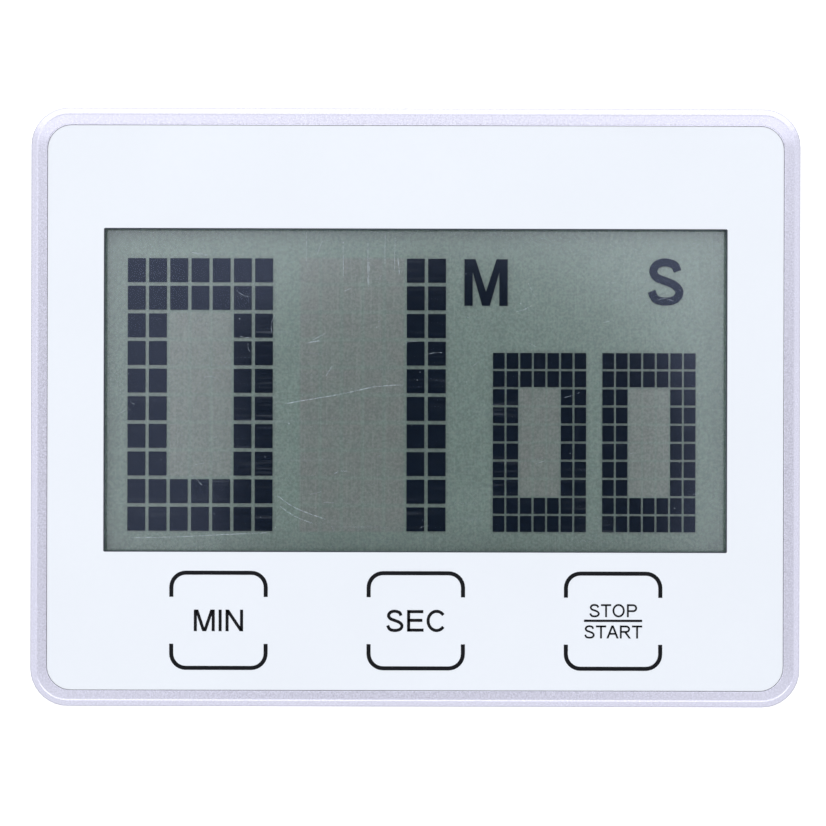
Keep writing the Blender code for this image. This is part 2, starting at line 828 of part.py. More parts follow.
def add_magnet_pockets(cover):
    floor = BODY_DEPTH - MAGNET_THICKNESS - 0.2 * MM
    for side, name in ((-1, "left"), (1, "right")):
        spot = (side * MAGNET_X, MAGNET_Z)
        join(
            cover,
            rod(
                f"magnet_boss_{name}",
                MAGNET_RADIUS + 1.2 * MM,
                spot,
                (floor - 1.2 * MM, BACK_WALL + 0.2 * MM),
            ),
        )
        cut(
            cover,
            rod(f"magnet_pocket_{name}", MAGNET_RADIUS + CLOSE_GAP, spot, (floor, REAR_FACE + THROUGH)),
        )


def add_buzzer_seat(cover):
    """A ring that holds the sounder, behind a hexagon of sound holes."""
    spot = (BUZZER_X, BUZZER_Z)
    join(cover, rod("buzzer_ring", BUZZER_RADIUS + 1.1 * MM, spot, (13.9 * MM, BACK_WALL + 0.2 * MM)))
    cut(cover, rod("buzzer_ring_cut", BUZZER_RADIUS + FIT_GAP, spot, (13 * MM, BACK_WALL)))
    pitch = 2.4 * MM
    rings = 2
    for row in range(-rings, rings + 1):
        for column in range(-rings, rings + 1):
            if abs(row + column) > rings:
                continue
            hole = (
                BUZZER_X + pitch * (column + row / 2), BUZZER_Z + pitch * row * math.sin(math.radians(60))
            )
            name = f"sound_hole_{row + rings}_{column + rings}"
            cut(cover, rod(name, 0.65 * MM, hole, (14.5 * MM, REAR_FACE + THROUGH), steps=10))


def add_switch_slot(cover):
    past = REAR_FACE + THROUGH
    middle = SWITCH_X + SWITCH_TRAVEL / 2
    slot_half = 1.7 * MM + SWITCH_TRAVEL / 2 + FIT_GAP
    well = rounded_rect(10 * MM, 5.6 * MM, 1.2 * MM, (middle, SWITCH_Z), steps=4)
    cut(cover, prism("switch_well_cut", well, REAR_FACE - 0.6 * MM, past))
    cut(
        cover,
        block(
            "switch_slot_cut",
            (middle - slot_half, middle + slot_half),
            (BACK_WALL - THROUGH, past),
            (SWITCH_Z - 1.6 * MM, SWITCH_Z + 1.6 * MM),
        ),
    )


def make_case_screws():
    for number, spot in enumerate(CASE_SCREWS, 1):
        make_screw(
            f"case_screw_{number}", spot, 5.0 * MM, SCREW_SEAT + 0.1 * MM, 1.1 * MM, 2.2 * MM, 1.6 * MM
        )


# ---------------------------------------------------------------- battery
def make_battery():
    middle = (CELL_DEPTH, CELL_Z)
    nub_start = CELL_BASE_X + CELL_LENGTH
    edge = 0.4 * MM
    profile = [
        (CELL_BASE_X, CELL_RADIUS - edge),
        (CELL_BASE_X + edge, CELL_RADIUS),
        (nub_start - edge, CELL_RADIUS),
        (nub_start, CELL_RADIUS - edge),
        (nub_start, 1.9 * MM),
        (nub_start + 1.0 * MM, 1.8 * MM),
    ]
    loft("battery_cell", [(x, circle(r, middle, 28)) for x, r in profile], "cell_wrap", axis="X")

    plate = prism(
        "contact_positive",
        rect(5.6 * MM, 14 * MM, 4.4 * MM, 12.8 * MM),
        24.15 * MM,
        24.45 * MM,
        "nickel",
        axis="X",
    )
    join(
        plate,
        prism(
            "positive_tab",
            rect(7.0 * MM, 9.5 * MM, 12.5 * MM, 16.2 * MM),
            24.15 * MM,
            24.45 * MM,
            axis="X",
        ),
    )
    make_contact_spring()

    board = BOARD_BACK + FIT_GAP
    for name, x, depth, inward, material in (
        ("battery_wire_red", 24.3 * MM, 8.25 * MM, -1, "red_wire"),
        ("battery_wire_black", -24.85 * MM, CELL_DEPTH, 1, "black_wire"),
    ):
        end_x = x + inward * 3 * MM
        corners = [
            (x, depth, 16.7 * MM),
            (x, depth, 21 * MM),
            (end_x, 9.5 * MM, 22 * MM),
            (end_x, board, 22 * MM),
        ]
        tube_along(name, smooth_route(corners, 12), 0.45 * MM, material)


def make_contact_spring():
    """A conical coil whose wide end runs on as a straight tail to the solder joint."""
    turns = 4
    per_turn = 14
    start_x, end_x = -24.85 * MM, -21.35 * MM
    wide, narrow = 4.2 * MM, 2.4 * MM
    points = [
        (start_x, CELL_DEPTH - 0.2 * MM, 16.2 * MM),
        (start_x, CELL_DEPTH - 0.2 * MM, CELL_Z + wide + 0.6 * MM),
    ]
    total = turns * per_turn
    for i in range(total + 1):
        share = i / total
        angle = math.radians(90) + 2 * math.pi * turns * share
        radius = wide + (narrow - wide) * share
        x = start_x + (end_x - start_x) * share
        points.append((x, CELL_DEPTH + radius * math.cos(angle), CELL_Z + radius * math.sin(angle)))
    tube_along("contact_spring", points, 0.3 * MM, "nickel", sides=1)


def make_battery_door():
    door = block(
        "battery_door",
        (-DOOR_HALF_WIDTH, DOOR_HALF_WIDTH),
        (DOOR_FRONT, REAR_FACE + THROUGH),
        (-THROUGH, DOOR_TOP),
        "silver_paint",
    )
    combine(door, "INTERSECT", rear_envelope("door_envelope"))
    tongue = DOOR_FRONT + TONGUE_THICKNESS
    join(
        door,
        block(
            "door_tongues",
            (-DOOR_HALF_WIDTH - TONGUE, DOOR_HALF_WIDTH + TONGUE),
            (DOOR_FRONT, tongue),
            (1 * MM, 14 * MM),
        ),
        block(
            "door_latch",
            (-4 * MM, 4 * MM),
            (DOOR_FRONT, tongue),
            (DOOR_TOP - THROUGH, DOOR_TOP + 1.2 * MM),
        ),
    )
    for i in range(4):
        z = (8.6 + 1.3 * i) * MM
        cut(
            door,
            block(
                f"door_grip_{i}",
                (-6 * MM, 6 * MM),
                (REAR_FACE - 0.4 * MM, REAR_FACE + THROUGH),
                (z, z + 0.6 * MM),
            ),
        )
    hang_on("battery_door_slide", Vector((0, FACE_Y + REAR_FACE, DOOR_TOP)), door)


# ---------------------------------------------------------------- stand, magnets, buzzer
def make_stand():
    stand = prism(
        "stand",
        bail_outline(STAND_HALF_WIDTH, STAND_ARM, HINGE_Z, STAND_TOP, STAND_BAR),
        STAND_FRONT,
        STAND_BACK,
        "silver_paint",
    )
    radius = (STAND_BACK - STAND_FRONT) / 2
    for side, name in ((-1, "left"), (1, "right")):
        inner = side * (STAND_HALF_WIDTH - STAND_ARM)
        outer = side * STAND_HALF_WIDTH
        tip = side * (STAND_HALF_WIDTH + STUB_LENGTH)
        middle = (HINGE_DEPTH, HINGE_Z)
        join(stand, rod(f"stand_heel_{name}", radius, middle, sorted((inner, outer)), axis="X"))
        join(
            stand,
            rod(
                f"stand_stub_{name}",
                STUB_RADIUS,
                middle,
                sorted((outer - side * 1 * MM, tip)),
                axis="X",
                steps=16,
            ),
        )
    hang_on("stand_hinge", Vector((0, FACE_Y + HINGE_DEPTH, HINGE_Z)), stand)


def make_magnets():
    front = BODY_DEPTH - MAGNET_THICKNESS
    edge = 0.2 * MM
    for side, name in ((-1, "left"), (1, "right")):
        spot = (side * MAGNET_X, MAGNET_Z)
        profile = [
            (front, MAGNET_RADIUS - edge),
            (front + edge, MAGNET_RADIUS),
            (BODY_DEPTH - edge, MAGNET_RADIUS),
            (BODY_DEPTH, MAGNET_RADIUS - edge),
        ]
        loft(f"magnet_{name}", [(d, circle(r, spot)) for d, r in profile], "nickel")


def make_buzzer():
    spot = (BUZZER_X, BUZZER_Z)
    rod("piezo_plate", BUZZER_RADIUS, spot, (14.6 * MM, 14.85 * MM), "brass")
    rod("piezo_ceramic", 5.5 * MM, spot, (14.25 * MM, 14.45 * MM), "ceramic")
    board = BOARD_BACK + FIT_GAP
    for name, x, depth, aside, material in (
        ("buzzer_wire_red", BUZZER_X, 13.95 * MM, -3 * MM, "red_wire"),
        ("buzzer_wire_black", BUZZER_X + 7 * MM, 14.3 * MM, 3 * MM, "black_wire"),
    ):
        corners = [
            (x, depth, BUZZER_Z),
            (x, 9 * MM, BUZZER_Z),
            (x + aside, 10 * MM, BUZZER_Z - 9 * MM),
            (x + aside, board, BUZZER_Z - 9 * MM),
        ]
        tube_along(name, smooth_route(corners, 12), 0.4 * MM, material)


def main():
    for thing in list(bpy.data.objects):
        bpy.data.objects.remove(thing)
    make_front_case()
    make_fascia()
    make_display()
    make_board()
    make_switch()
    make_rear_cover()
    make_case_screws()
    make_battery()
    make_battery_door()
    make_stand()
    make_magnets()
    make_buzzer()


main()
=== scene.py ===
"""Looks of the kitchen timer: its finishes, printing, display, small fittings and studio.

Metres, +Z up, in the CAD's own frame: the face looks along -Y. Places on the face are
written in millimetres from the middle of the case.
"""

import math
import random

import bmesh
import bpy
from mathutils import Matrix, Vector


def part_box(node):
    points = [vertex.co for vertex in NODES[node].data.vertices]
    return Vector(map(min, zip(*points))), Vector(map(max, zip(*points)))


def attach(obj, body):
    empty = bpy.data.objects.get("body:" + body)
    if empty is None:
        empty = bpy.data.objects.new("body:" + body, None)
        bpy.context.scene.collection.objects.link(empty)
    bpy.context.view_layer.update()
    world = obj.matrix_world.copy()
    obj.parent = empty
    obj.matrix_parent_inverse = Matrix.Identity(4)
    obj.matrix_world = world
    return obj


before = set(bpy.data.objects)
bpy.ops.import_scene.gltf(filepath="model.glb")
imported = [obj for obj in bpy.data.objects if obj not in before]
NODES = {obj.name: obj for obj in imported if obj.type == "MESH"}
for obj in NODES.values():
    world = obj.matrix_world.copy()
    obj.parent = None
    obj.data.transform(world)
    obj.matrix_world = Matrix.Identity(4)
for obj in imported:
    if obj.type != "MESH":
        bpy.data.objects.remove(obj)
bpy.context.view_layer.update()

MM = 0.001

# ---------------------------------------------------------------- places, from the frame
CASE_LOW, CASE_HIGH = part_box("front_case")
FASCIA_LOW, FASCIA_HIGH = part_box("fascia_panel")
LENS_LOW, LENS_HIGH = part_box("display_lens")
FILM_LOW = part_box("lcd_front_polarizer")[0]
DOOR_LOW, DOOR_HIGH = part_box("battery_door")
KNOB_LOW, KNOB_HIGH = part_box("switch_knob")
COVER_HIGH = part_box("rear_cover")[1]
MIDDLE = (CASE_LOW.z + CASE_HIGH.z) / 2
DISPLAY_Z = (LENS_LOW.z + LENS_HIGH.z) / 2

# ---------------------------------------------------------------- sizes, in millimetres
LENS_MARGIN = 1.15
WINDOW_WIDTH = (LENS_HIGH.x - LENS_LOW.x) / MM - 2 * LENS_MARGIN
WINDOW_HEIGHT = (LENS_HIGH.z - LENS_LOW.z) / MM - 2 * LENS_MARGIN
WINDOW_CENTRE = (DISPLAY_Z - MIDDLE) / MM
# The dark ring of painted shade round the window: its width, and how far below the face it stops
WINDOW_EDGE = 0.11
WINDOW_EDGE_BELOW_FACE = 0.1

INK_THICKNESS = 0.02
SEGMENT_THICKNESS = 0.03
SEGMENT_LIFT = 0.28

KEYS_X = 0.1
KEY_WIDTH = 11.5
KEY_TALL = 11.59
KEY_LINE = 0.47
KEY_RADIUS = 1.93
KEY_PITCH = 23.06
KEY_HEIGHT = -24.92
KEY_ARM = 3.05

# The words on the keys: their capitals' height, and their feet and the bar from the key's middle
WORD_CAP = 2.52
WORD_FOOT = -1.27
SMALL_CAP = 1.51
STOP_FOOT = 0.48
START_FOOT = -2.01
BAR_HALF_WIDTH = 3.4
BAR_FOOT, BAR_TOP = -0.09, 0.18

# Each digit is a grid of blocks. Pitch and block are given across and down, left and top from the
# middle of the case. A stroke is two blocks wide.
DIGIT_COLUMNS = 7
DIGIT_ROWS = 10
STROKE_BLOCKS = 2
LARGE = {"pitch": (2.49, 3.242), "block": (2.09, 2.81)}
SMALL = {"pitch": (1.595, 2.125), "block": (1.36, 1.87)}
LARGE_TOP = 17.47
SMALL_TOP = 6.44
DIGITS = [
    {"shape": "0", "left": -33.78, "top": LARGE_TOP, **LARGE},
    {"shape": "1", "left": -13.48, "top": LARGE_TOP, **LARGE},
    {"shape": "0", "left": 9.10, "top": SMALL_TOP, **SMALL},
    {"shape": "0", "left": 21.94, "top": SMALL_TOP, **SMALL},
]

# The letters over the digits: left edge, foot, width and height
LETTER_M = (5.72, 11.97, 5.07, 5.46)
LETTER_S = (27.22, 12.05, 4.2, 5.53)
LETTER_S_WEIGHT = 0.93

SCRATCH_THICKNESS = 0.004
MARK_HEIGHT = 0.15

# ---------------------------------------------------------------- studio, in mm and degrees
CAMERA_DISTANCE = 600
CAMERA_OFFSET = (-0.28, -0.635)
CAMERA_ROLL = -0.135
SENSOR_WIDTH = 36
FRAME_WIDTH = 96.54
OPENING_DISTANCE = 720
LAMP_DISTANCE = 620
LAMP_ANGLES = (-8, 22)
LAMP_SIZE = (350, 180)
LAMP_WATTS = 0.95

# The tent: its colour, how bright it is straight ahead of the face, the share of its light that
# matt surfaces get, and how bright the plain backdrop is
TENT_COLOUR = (0.94, 0.98, 1.08)
TENT_AHEAD = 0.8
TENT_FILL = 0.85
BACKDROP = 1.6


# ---------------------------------------------------------------- materials
class Graph:
    """Adds nodes to a node tree. Any input may be a number, a colour or another node's socket."""

    def __init__(self, tree, place):
        self.nodes = tree.nodes
        self.links = tree.links
        self.place = self.nodes.new("ShaderNodeTexCoord").outputs[place]

    def feed(self, socket, value):
        if isinstance(value, bpy.types.NodeSocket):
            self.links.new(value, socket)
        elif socket.type == "RGBA" and len(value) == 3:
            socket.default_value = (*value, 1.0)
        else:
            socket.default_value = value

    def along(self, letter):
        """The coordinate along one axis."""
        split = self.nodes.new("ShaderNodeSeparateXYZ")
        self.feed(split.inputs[0], self.place)
        return split.outputs[letter]

    def math(self, operation, a, b=0.0, clamp=False):
        made = self.nodes.new("ShaderNodeMath")
        made.operation = operation
        made.use_clamp = clamp
        self.feed(made.inputs[0], a)
        self.feed(made.inputs[1], b)
        return made.outputs[0]

    def ramp(self, value, low, high, start=0.0, end=1.0, smooth=False):
        """Takes value from low..high to start..end, and holds it there outside."""
        made = self.nodes.new("ShaderNodeMapRange")
        if smooth:
            made.interpolation_type = "SMOOTHSTEP"
        self.feed(made.inputs["Value"], value)
        limits = {"From Min": low, "From Max": high, "To Min": start, "To Max": end}
        for name, number in limits.items():
            made.inputs[name].default_value = number
        return made.outputs["Result"]

    def total(self, *values):
        """The sum of the values."""
        result = values[0]
        for value in values[1:]:
            result = self.math("ADD", result, value)
        return result


class Finish(Graph):
    """Builds one material."""

    def __init__(self, name, colour=(0.8, 0.8, 0.8), roughness=0.5, metallic=0.0):
        self.material = bpy.data.materials.new(name)
        self.material.use_nodes = True
        super().__init__(self.material.node_tree, "Object")
        self.shader = self.nodes["Principled BSDF"]
        self.output = self.nodes["Material Output"]
        self.set(**{"Base Color": colour, "Roughness": roughness, "Metallic": metallic})

    def set(self, **inputs):
        for name, value in inputs.items():
            self.feed(self.shader.inputs[name], value)
        return self

    def axis(self, letter):
        """The object coordinate along one axis, in millimetres."""
        return self.math("MULTIPLY", self.along(letter), 1 / MM)

    def scaled(self, per_mm, stretch=(1, 1, 1), shift=(0, 0, 0)):
        """The place for a pattern with that many features to a millimetre, times stretch."""
        made = self.nodes.new("ShaderNodeMapping")
        self.feed(made.inputs["Vector"], self.place)
        made.inputs["Scale"].default_value = [per_mm / MM * s for s in stretch]
        made.inputs["Location"].default_value = shift
        return made.outputs[0]

    def noise(self, per_mm, detail=2.0, stretch=(1, 1, 1), shift=(0, 0, 0)):
        made = self.nodes.new("ShaderNodeTexNoise")
        self.feed(made.inputs["Vector"], self.scaled(per_mm, stretch, shift))
        self.feed(made.inputs["Scale"], 1.0)
        self.feed(made.inputs["Detail"], detail)
        return made.outputs["Fac"]

    def cells(self, per_mm):
        """A random value for each cell of a Voronoi pattern."""
        made = self.nodes.new("ShaderNodeTexVoronoi")
        self.feed(made.inputs["Vector"], self.scaled(per_mm))
        self.feed(made.inputs["Scale"], 1.0)
        split = self.nodes.new("ShaderNodeSeparateColor")
        self.feed(split.inputs[0], made.outputs["Color"])
        return split.outputs[0]

    def mix(self, factor, a, b):
        """Colour a at factor 0, colour b at factor 1."""
        made = self.nodes.new("ShaderNodeMix")
        made.data_type = "RGBA"
        self.feed(made.inputs["Factor"], factor)
        self.feed(made.inputs[6], a)
        self.feed(made.inputs[7], b)
        return made.outputs[2]

    def bump(self, height, distance, strength=1.0, normal=None):
        """Relief of that depth, in millimetres."""
        made = self.nodes.new("ShaderNodeBump")
        made.inputs["Strength"].default_value = strength
        made.inputs["Distance"].default_value = distance * MM
        self.feed(made.inputs["Height"], height)
        if normal:
            self.feed(made.inputs["Normal"], normal)
        self.feed(self.shader.inputs["Normal"], made.outputs[0])
        return self

    def soft_edges(self, radius):
        """Normals that turn round each edge over that radius, in millimetres."""
        made = self.nodes.new("ShaderNodeBevel")
        made.samples = 8
        made.inputs["Radius"].default_value = radius * MM
        return made.outputs[0]


def moulded(name, colour, darker=0.8, roughness=0.45):
    """Plastic, rubber or cast resin with faint clouding and a fine moulded grain."""
    made = Finish(name, colour, roughness)
    clouds = made.noise(0.15, 3.0)
    fine = made.noise(4.0, 3.0)
    shade = [c * darker for c in colour]
    made.set(**{"Base Color": made.mix(made.ramp(clouds, 0.3, 0.7), shade, colour)})
    made.set(Roughness=made.ramp(fine, 0.3, 0.7, roughness - 0.06, roughness + 0.08))
    return made.bump(fine, 0.01, 0.6).material


def silver_paint():
    """Glossy silvery-lilac metallic paint: fine flakes, soft blotches, a little orange peel."""
    made = Finish("silver_paint", metallic=0.92)
    flakes = made.noise(5.0, 2.0)
    sparkle = made.cells(9.0)
    blotches = made.noise(0.9, 3.0)
    body = made.mix(made.ramp(flakes, 0.35, 0.65), (0.71, 0.68, 0.75), (0.81, 0.78, 0.85))
    body = made.mix(made.ramp(blotches, 0.35, 0.65, 0.0, 0.4), body, (0.76, 0.73, 0.785))
    body = made.mix(made.ramp(sparkle, 0.93, 0.98, 0.0, 0.4), body, (0.88, 0.87, 0.93))
    made.set(**{"Base Color": body, "Roughness": made.ramp(flakes, 0.3, 0.7, 0.14, 0.22)})
    return made.bump(flakes, 0.004, 0.4, made.soft_edges(0.28)).material


def white_print():
    """Smooth white ink on a plastic sheet, with a very slight unevenness."""
    made = Finish("white_print", roughness=0.32)
    clouds = made.noise(0.08, 4.0)
    fine = made.noise(1.6, 3.0)
    white = made.mix(made.ramp(clouds, 0.3, 0.7), (0.75, 0.756, 0.742), (0.765, 0.771, 0.757))
    white = made.mix(made.ramp(fine, 0.35, 0.65, 0.0, 0.25), white, (0.74, 0.746, 0.737))
    made.set(**{"Base Color": white, "Roughness": made.ramp(fine, 0.3, 0.7, 0.28, 0.38)})
    return made.bump(fine, 0.004, 0.4, made.soft_edges(0.08)).material


def ink(name, colour, roughness=0.5):
    """Screen-printed ink, nearly even, with tiny pinholes; the same finish also makes the dark
    painted shade round the window.
    """
    made = Finish(name, colour, roughness)
    fine = made.noise(5.0, 3.0)
    paler = [c + 0.01 for c in colour]
    made.set(**{"Base Color": made.mix(made.ramp(fine, 0.6, 0.8), colour, paler)})
    made.set(Roughness=made.ramp(fine, 0.3, 0.7, roughness - 0.05, roughness + 0.1))
    made.set(**{"Specular IOR Level": 0.12})
    return made.bump(fine, 0.004, 0.3).material


def unlit_blocks(made):
    """A soft mask of the unlit blocks: a 0's middle, and all that is left of a 1's stroke."""
    across, up = made.axis("X"), made.axis("Z")
    masks = []
    for digit in DIGITS:
        (pitch_across, pitch_down), (width, height) = digit["pitch"], digit["block"]
        margin = STROKE_BLOCKS if digit["shape"] == "0" else 0
        last_column = DIGIT_COLUMNS - STROKE_BLOCKS
        rows = made.math("SUBTRACT", MIDDLE / MM + digit["top"], up)
        columns = made.math("SUBTRACT", across, digit["left"])
        masks.append(
            made.math(
                "MULTIPLY",
                block_band(made, columns, pitch_across, width, margin, last_column),
                block_band(made, rows, pitch_down, height, margin, DIGIT_ROWS - margin),
            )
        )
    return made.total(*masks)


def block_band(made, along, pitch, size, first, last):
    """1 on each block from first up to last, a little less between them, and 0 outside."""
    blur = 0.15
    between = 0.6
    half, edge = size / pitch / 2, blur / pitch
    inside = made.math("FRACT", made.math("DIVIDE", along, pitch))
    off_centre = made.math("ABSOLUTE", made.math("SUBTRACT", inside, half))
    block = made.ramp(off_centre, half - edge, half + edge, 1.0, between, smooth=True)
    start = made.ramp(along, first * pitch - 2 * blur, first * pitch, smooth=True)
    past = last * pitch - (pitch - size)
    end = made.ramp(along, past, past + 2 * blur, 1.0, 0.0, smooth=True)
    return made.math("MULTIPLY", block, made.math("MULTIPLY", start, end))


FILM_GREEN = ((0.158, 0.215, 0.173), (0.173, 0.234, 0.19), (0.18, 0.215, 0.178))
FILM_GREY = (0.178, 0.186, 0.161)


def lcd_film():
    """The display's grey-green face: a fine-grained film, and the blocks that are switched off."""
    made = Finish("lcd_film")
    grain = made.noise(3.6, 3.0)
    tint = made.noise(2.1, 2.0, shift=(7, 0, 0))
    brushed = made.noise(1.0, 2.0, stretch=(5, 1, 0.12))
    clouds = made.noise(0.35, 3.0)
    green = made.mix(made.ramp(clouds, 0.35, 0.65), FILM_GREEN[0], FILM_GREEN[1])
    green = made.mix(made.ramp(tint, 0.35, 0.65, 0.0, 0.5), green, FILM_GREEN[2])
    patchy = made.ramp(made.noise(0.5, 4.0), 0.35, 0.65, 0.7, 1.0)
    off = made.math("MULTIPLY", unlit_blocks(made), patchy)
    colour = made.mix(off, green, FILM_GREY)
    colour = made.mix(made.ramp(grain, 0.36, 0.64, 0.3, 0.0), colour, (0.02, 0.04, 0.03))
    colour = made.mix(made.ramp(brushed, 0.55, 0.75, 0.0, 0.035), colour, (0.8, 0.85, 0.8))
    made.set(**{"Base Color": colour, "Specular IOR Level": 1.0, "Roughness": 0.2})
    made.set(**{"Coat Weight": 0.95, "Coat Roughness": 0.1, "Coat IOR": 2.05})
    return made.bump(grain, 0.003, 0.3).material


def segment_ink():
    """The blocks that are switched on: blue-black, very slightly cloudy."""
    made = Finish("segment_ink", roughness=0.07)
    clouds = made.noise(0.5, 3.0)
    made.set(**{"Base Color": made.mix(clouds, (0.006, 0.01, 0.018), (0.008, 0.013, 0.022))})
    made.set(**{"Specular IOR Level": 0.76, "Specular Tint": (0.68, 0.72, 1.0)})
    return made.material


def thin_clear(name, tint, haze, reflect_ior):
    """A clear sheet: light goes straight through, a little is reflected, and wear shows."""
    made = Finish(name, (0.75, 0.8, 0.85), 0.6)
    made.set(**{"Specular IOR Level": 0.0})
    wiped = made.noise(1.0, 1.0, stretch=(0.12, 1, 2.5))
    patches = made.noise(0.09, 3.0)
    scuffed = made.noise(1.0, 1.0, stretch=(3.5, 1, 0.15), shift=(3, 0, 0))
    streaked, rubbed = made.ramp(wiped, 0.6, 0.78), made.ramp(scuffed, 0.68, 0.8)
    wear = made.math("MULTIPLY", streaked, made.ramp(patches, 0.42, 0.62), clamp=True)
    rub = made.math("MULTIPLY", rubbed, made.ramp(patches, 0.5, 0.4), clamp=True)
    worn = made.math("ADD", wear, made.math("MULTIPLY", rub, 0.25), clamp=True)

    clear = made.nodes.new("ShaderNodeBsdfTransparent")
    made.feed(clear.inputs["Color"], tint)
    gloss = made.nodes.new("ShaderNodeBsdfGlossy")
    made.feed(gloss.inputs["Color"], (0.68, 0.7, 1.0))
    made.feed(gloss.inputs["Roughness"], 0.02)
    edge_on = made.nodes.new("ShaderNodeFresnel")
    edge_on.inputs["IOR"].default_value = reflect_ior
    polished = made.nodes.new("ShaderNodeMixShader")
    made.feed(polished.inputs["Fac"], edge_on.outputs[0])
    made.links.new(clear.outputs[0], polished.inputs[1])
    made.links.new(gloss.outputs[0], polished.inputs[2])
    dusty = made.nodes.new("ShaderNodeMixShader")
    made.feed(dusty.inputs["Fac"], made.math("MULTIPLY", worn, haze))
    made.links.new(polished.outputs[0], dusty.inputs[1])
    made.links.new(made.shader.outputs[0], dusty.inputs[2])
    made.links.new(dusty.outputs[0], made.output.inputs["Surface"])
    return made.material


def faint_mark():
    """The pale line that a scratch or a speck of dust makes on clear plastic."""
    made = Finish("faint_mark", (0.75, 0.82, 0.86), 0.5)
    broken = made.noise(2.5, 3.0)
    made.set(Alpha=made.ramp(broken, 0.35, 0.65, 0.08, 0.42))
    return made.material


def metal(name, colour, darker, roughness=0.25, brushed=(1, 1, 1)):
    """Bare metal with faint stains and a fine grain, which brushed squeezes along each axis."""
    made = Finish(name, colour, roughness, 1.0)
    fine = made.noise(3.0, 3.0, stretch=brushed)
    stain = made.noise(0.25, 4.0)
    made.set(**{"Base Color": made.mix(made.ramp(stain, 0.4, 0.75), colour, darker)})
    made.set(Roughness=made.ramp(fine, 0.3, 0.7, roughness - 0.07, roughness + 0.12))
    return made.bump(fine, 0.004, 0.5).material


def circuit_board():
    """Green solder mask over tracks that show as paler lines, with a fine weave beneath."""
    made = Finish("green_board", roughness=0.38)
    tracks = made.nodes.new("ShaderNodeTexBrick")
    made.feed(tracks.inputs["Vector"], made.place)
    made.feed(tracks.inputs["Scale"], 1 / (2.4 * MM))
    tracks.inputs["Mortar Size"].default_value = 0.06
    made.feed(tracks.inputs["Color1"], (0.012, 0.12, 0.045))
    made.feed(tracks.inputs["Color2"], (0.016, 0.14, 0.05))
    made.feed(tracks.inputs["Mortar"], (0.04, 0.26, 0.1))
    weave = made.noise(3.0, 2.0)
    woven = made.ramp(weave, 0.4, 0.7, 0.0, 0.3)
    made.set(**{"Base Color": made.mix(woven, tracks.outputs[0], (0.01, 0.1, 0.04))})
    return made.bump(weave, 0.01, 0.5).material


def cell_wrap():
    """A printed film round the battery: dark body, a copper-coloured band and bare metal ends."""
    low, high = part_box("battery_cell")
    start, end = low.x / MM, high.x / MM
    band_width, bare_start, bare_end = 13, 0.8, 1.6
    made = Finish("cell_wrap", roughness=0.3, metallic=0.3)
    along = made.axis("X")
    fine = made.noise(1.5, 3.0)
    dark = made.mix(fine, (0.02, 0.022, 0.026), (0.035, 0.037, 0.042))
    band = made.math("GREATER_THAN", along, end - band_width)
    body = made.mix(band, dark, (0.62, 0.27, 0.1))
    bare = made.math(
        "ADD",
        made.math("LESS_THAN", along, start + bare_start),
        made.math("GREATER_THAN", along, end - bare_end),
    )
    made.set(**{"Base Color": made.mix(bare, body, (0.66, 0.65, 0.62))})
    made.set(Metallic=made.ramp(bare, 0, 1, 0.3, 1.0))
    return made.bump(fine, 0.004, 0.4).material


def amber_film():
    """Polyimide film with copper traces inside it."""
    made = Finish("amber_film", roughness=0.3)
    trace = made.math("PINGPONG", made.axis("X"), 0.5)
    lines = made.ramp(trace, 0.3, 0.34)
    fine = made.noise(2.0, 3.0)
    made.set(**{"Base Color": made.mix(lines, (0.42, 0.2, 0.03), (0.62, 0.33, 0.09))})
    return made.bump(fine, 0.004, 0.4).material


# ---------------------------------------------------------------- flat shapes
def ribbon(shape, points, width, closed=False):
    """A band of constant width along points, with mitred corners."""
    count = len(points)
    sides = []
    for i in range(count):
        before = Vector(points[i - 1]) if i or closed else None
        here = Vector(points[i])
        after = Vector(points[(i + 1) % count]) if i < count - 1 or closed else None
        steps = [(here - before).normalized()] if before else []
        if after:
            steps.append((after - here).normalized())
        along = sum(steps, Vector((0, 0))).normalized()
        normal = Vector((-along.y, along.x))
        reach = width / 2 / max(0.3, along.dot(steps[0]))
        places = (here + normal * reach, here - normal * reach)
        sides.append([shape.verts.new((*place, 0)) for place in places])
    following = sides[1:] + sides[:1] if closed else sides[1:]
    for (a, b), (c, d) in zip(sides, following, strict=False):
        shape.faces.new((a, b, d, c))


def arc(centre, radii, start, end, steps=14):
    """Points on an ellipse between two angles, in degrees."""
    points = []
    for i in range(steps + 1):
        angle = math.radians(start + (end - start) * i / steps)
        across, up = radii[0] * math.cos(angle), radii[1] * math.sin(angle)
        points.append((centre[0] + across, centre[1] + up))
    return points


def catmull_rom(before, start, end, after, t):
    """The value at t, from start to end, on a smooth curve through four values."""
    slope = end - before
    square = 2 * before - 5 * start + 4 * end - after
    cube = 3 * start - before - 3 * end + after
    return 0.5 * (2 * start + slope * t + square * t * t + cube * t**3)


def smooth_through(points, steps=5):
    """A smooth curve through the points."""
    padded = [points[0], *points, points[-1]]
    curve = []
    for four in zip(padded, padded[1:], padded[2:], padded[3:], strict=False):
        for i in range(steps):
            axes = zip(*four, strict=True)
            curve.append(tuple(catmull_rom(*values, i / steps) for values in axes))
    curve.append(tuple(points[-1]))
    return curve


def letter_s(left, bottom, width, height, weight):
    """The centre line of an S that fills a box once drawn with that weight."""
    shape = [
        (0.93, 0.77),
        (0.82, 0.93),
        (0.5, 1.0),
        (0.19, 0.94),
        (0.06, 0.77),
        (0.19, 0.61),
        (0.5, 0.52),
        (0.84, 0.41),
        (1.0, 0.24),
        (0.86, 0.06),
        (0.5, 0.0),
        (0.15, 0.06),
        (0.0, 0.26),
    ]
    start, foot = left + weight / 2, bottom + weight / 2
    across, up = width - weight, height - weight
    return smooth_through([(start + across * x, foot + up * y) for x, y in shape])


# A capital's height and its strokes' width, in ems
CAP = 0.716
STEM = 0.102


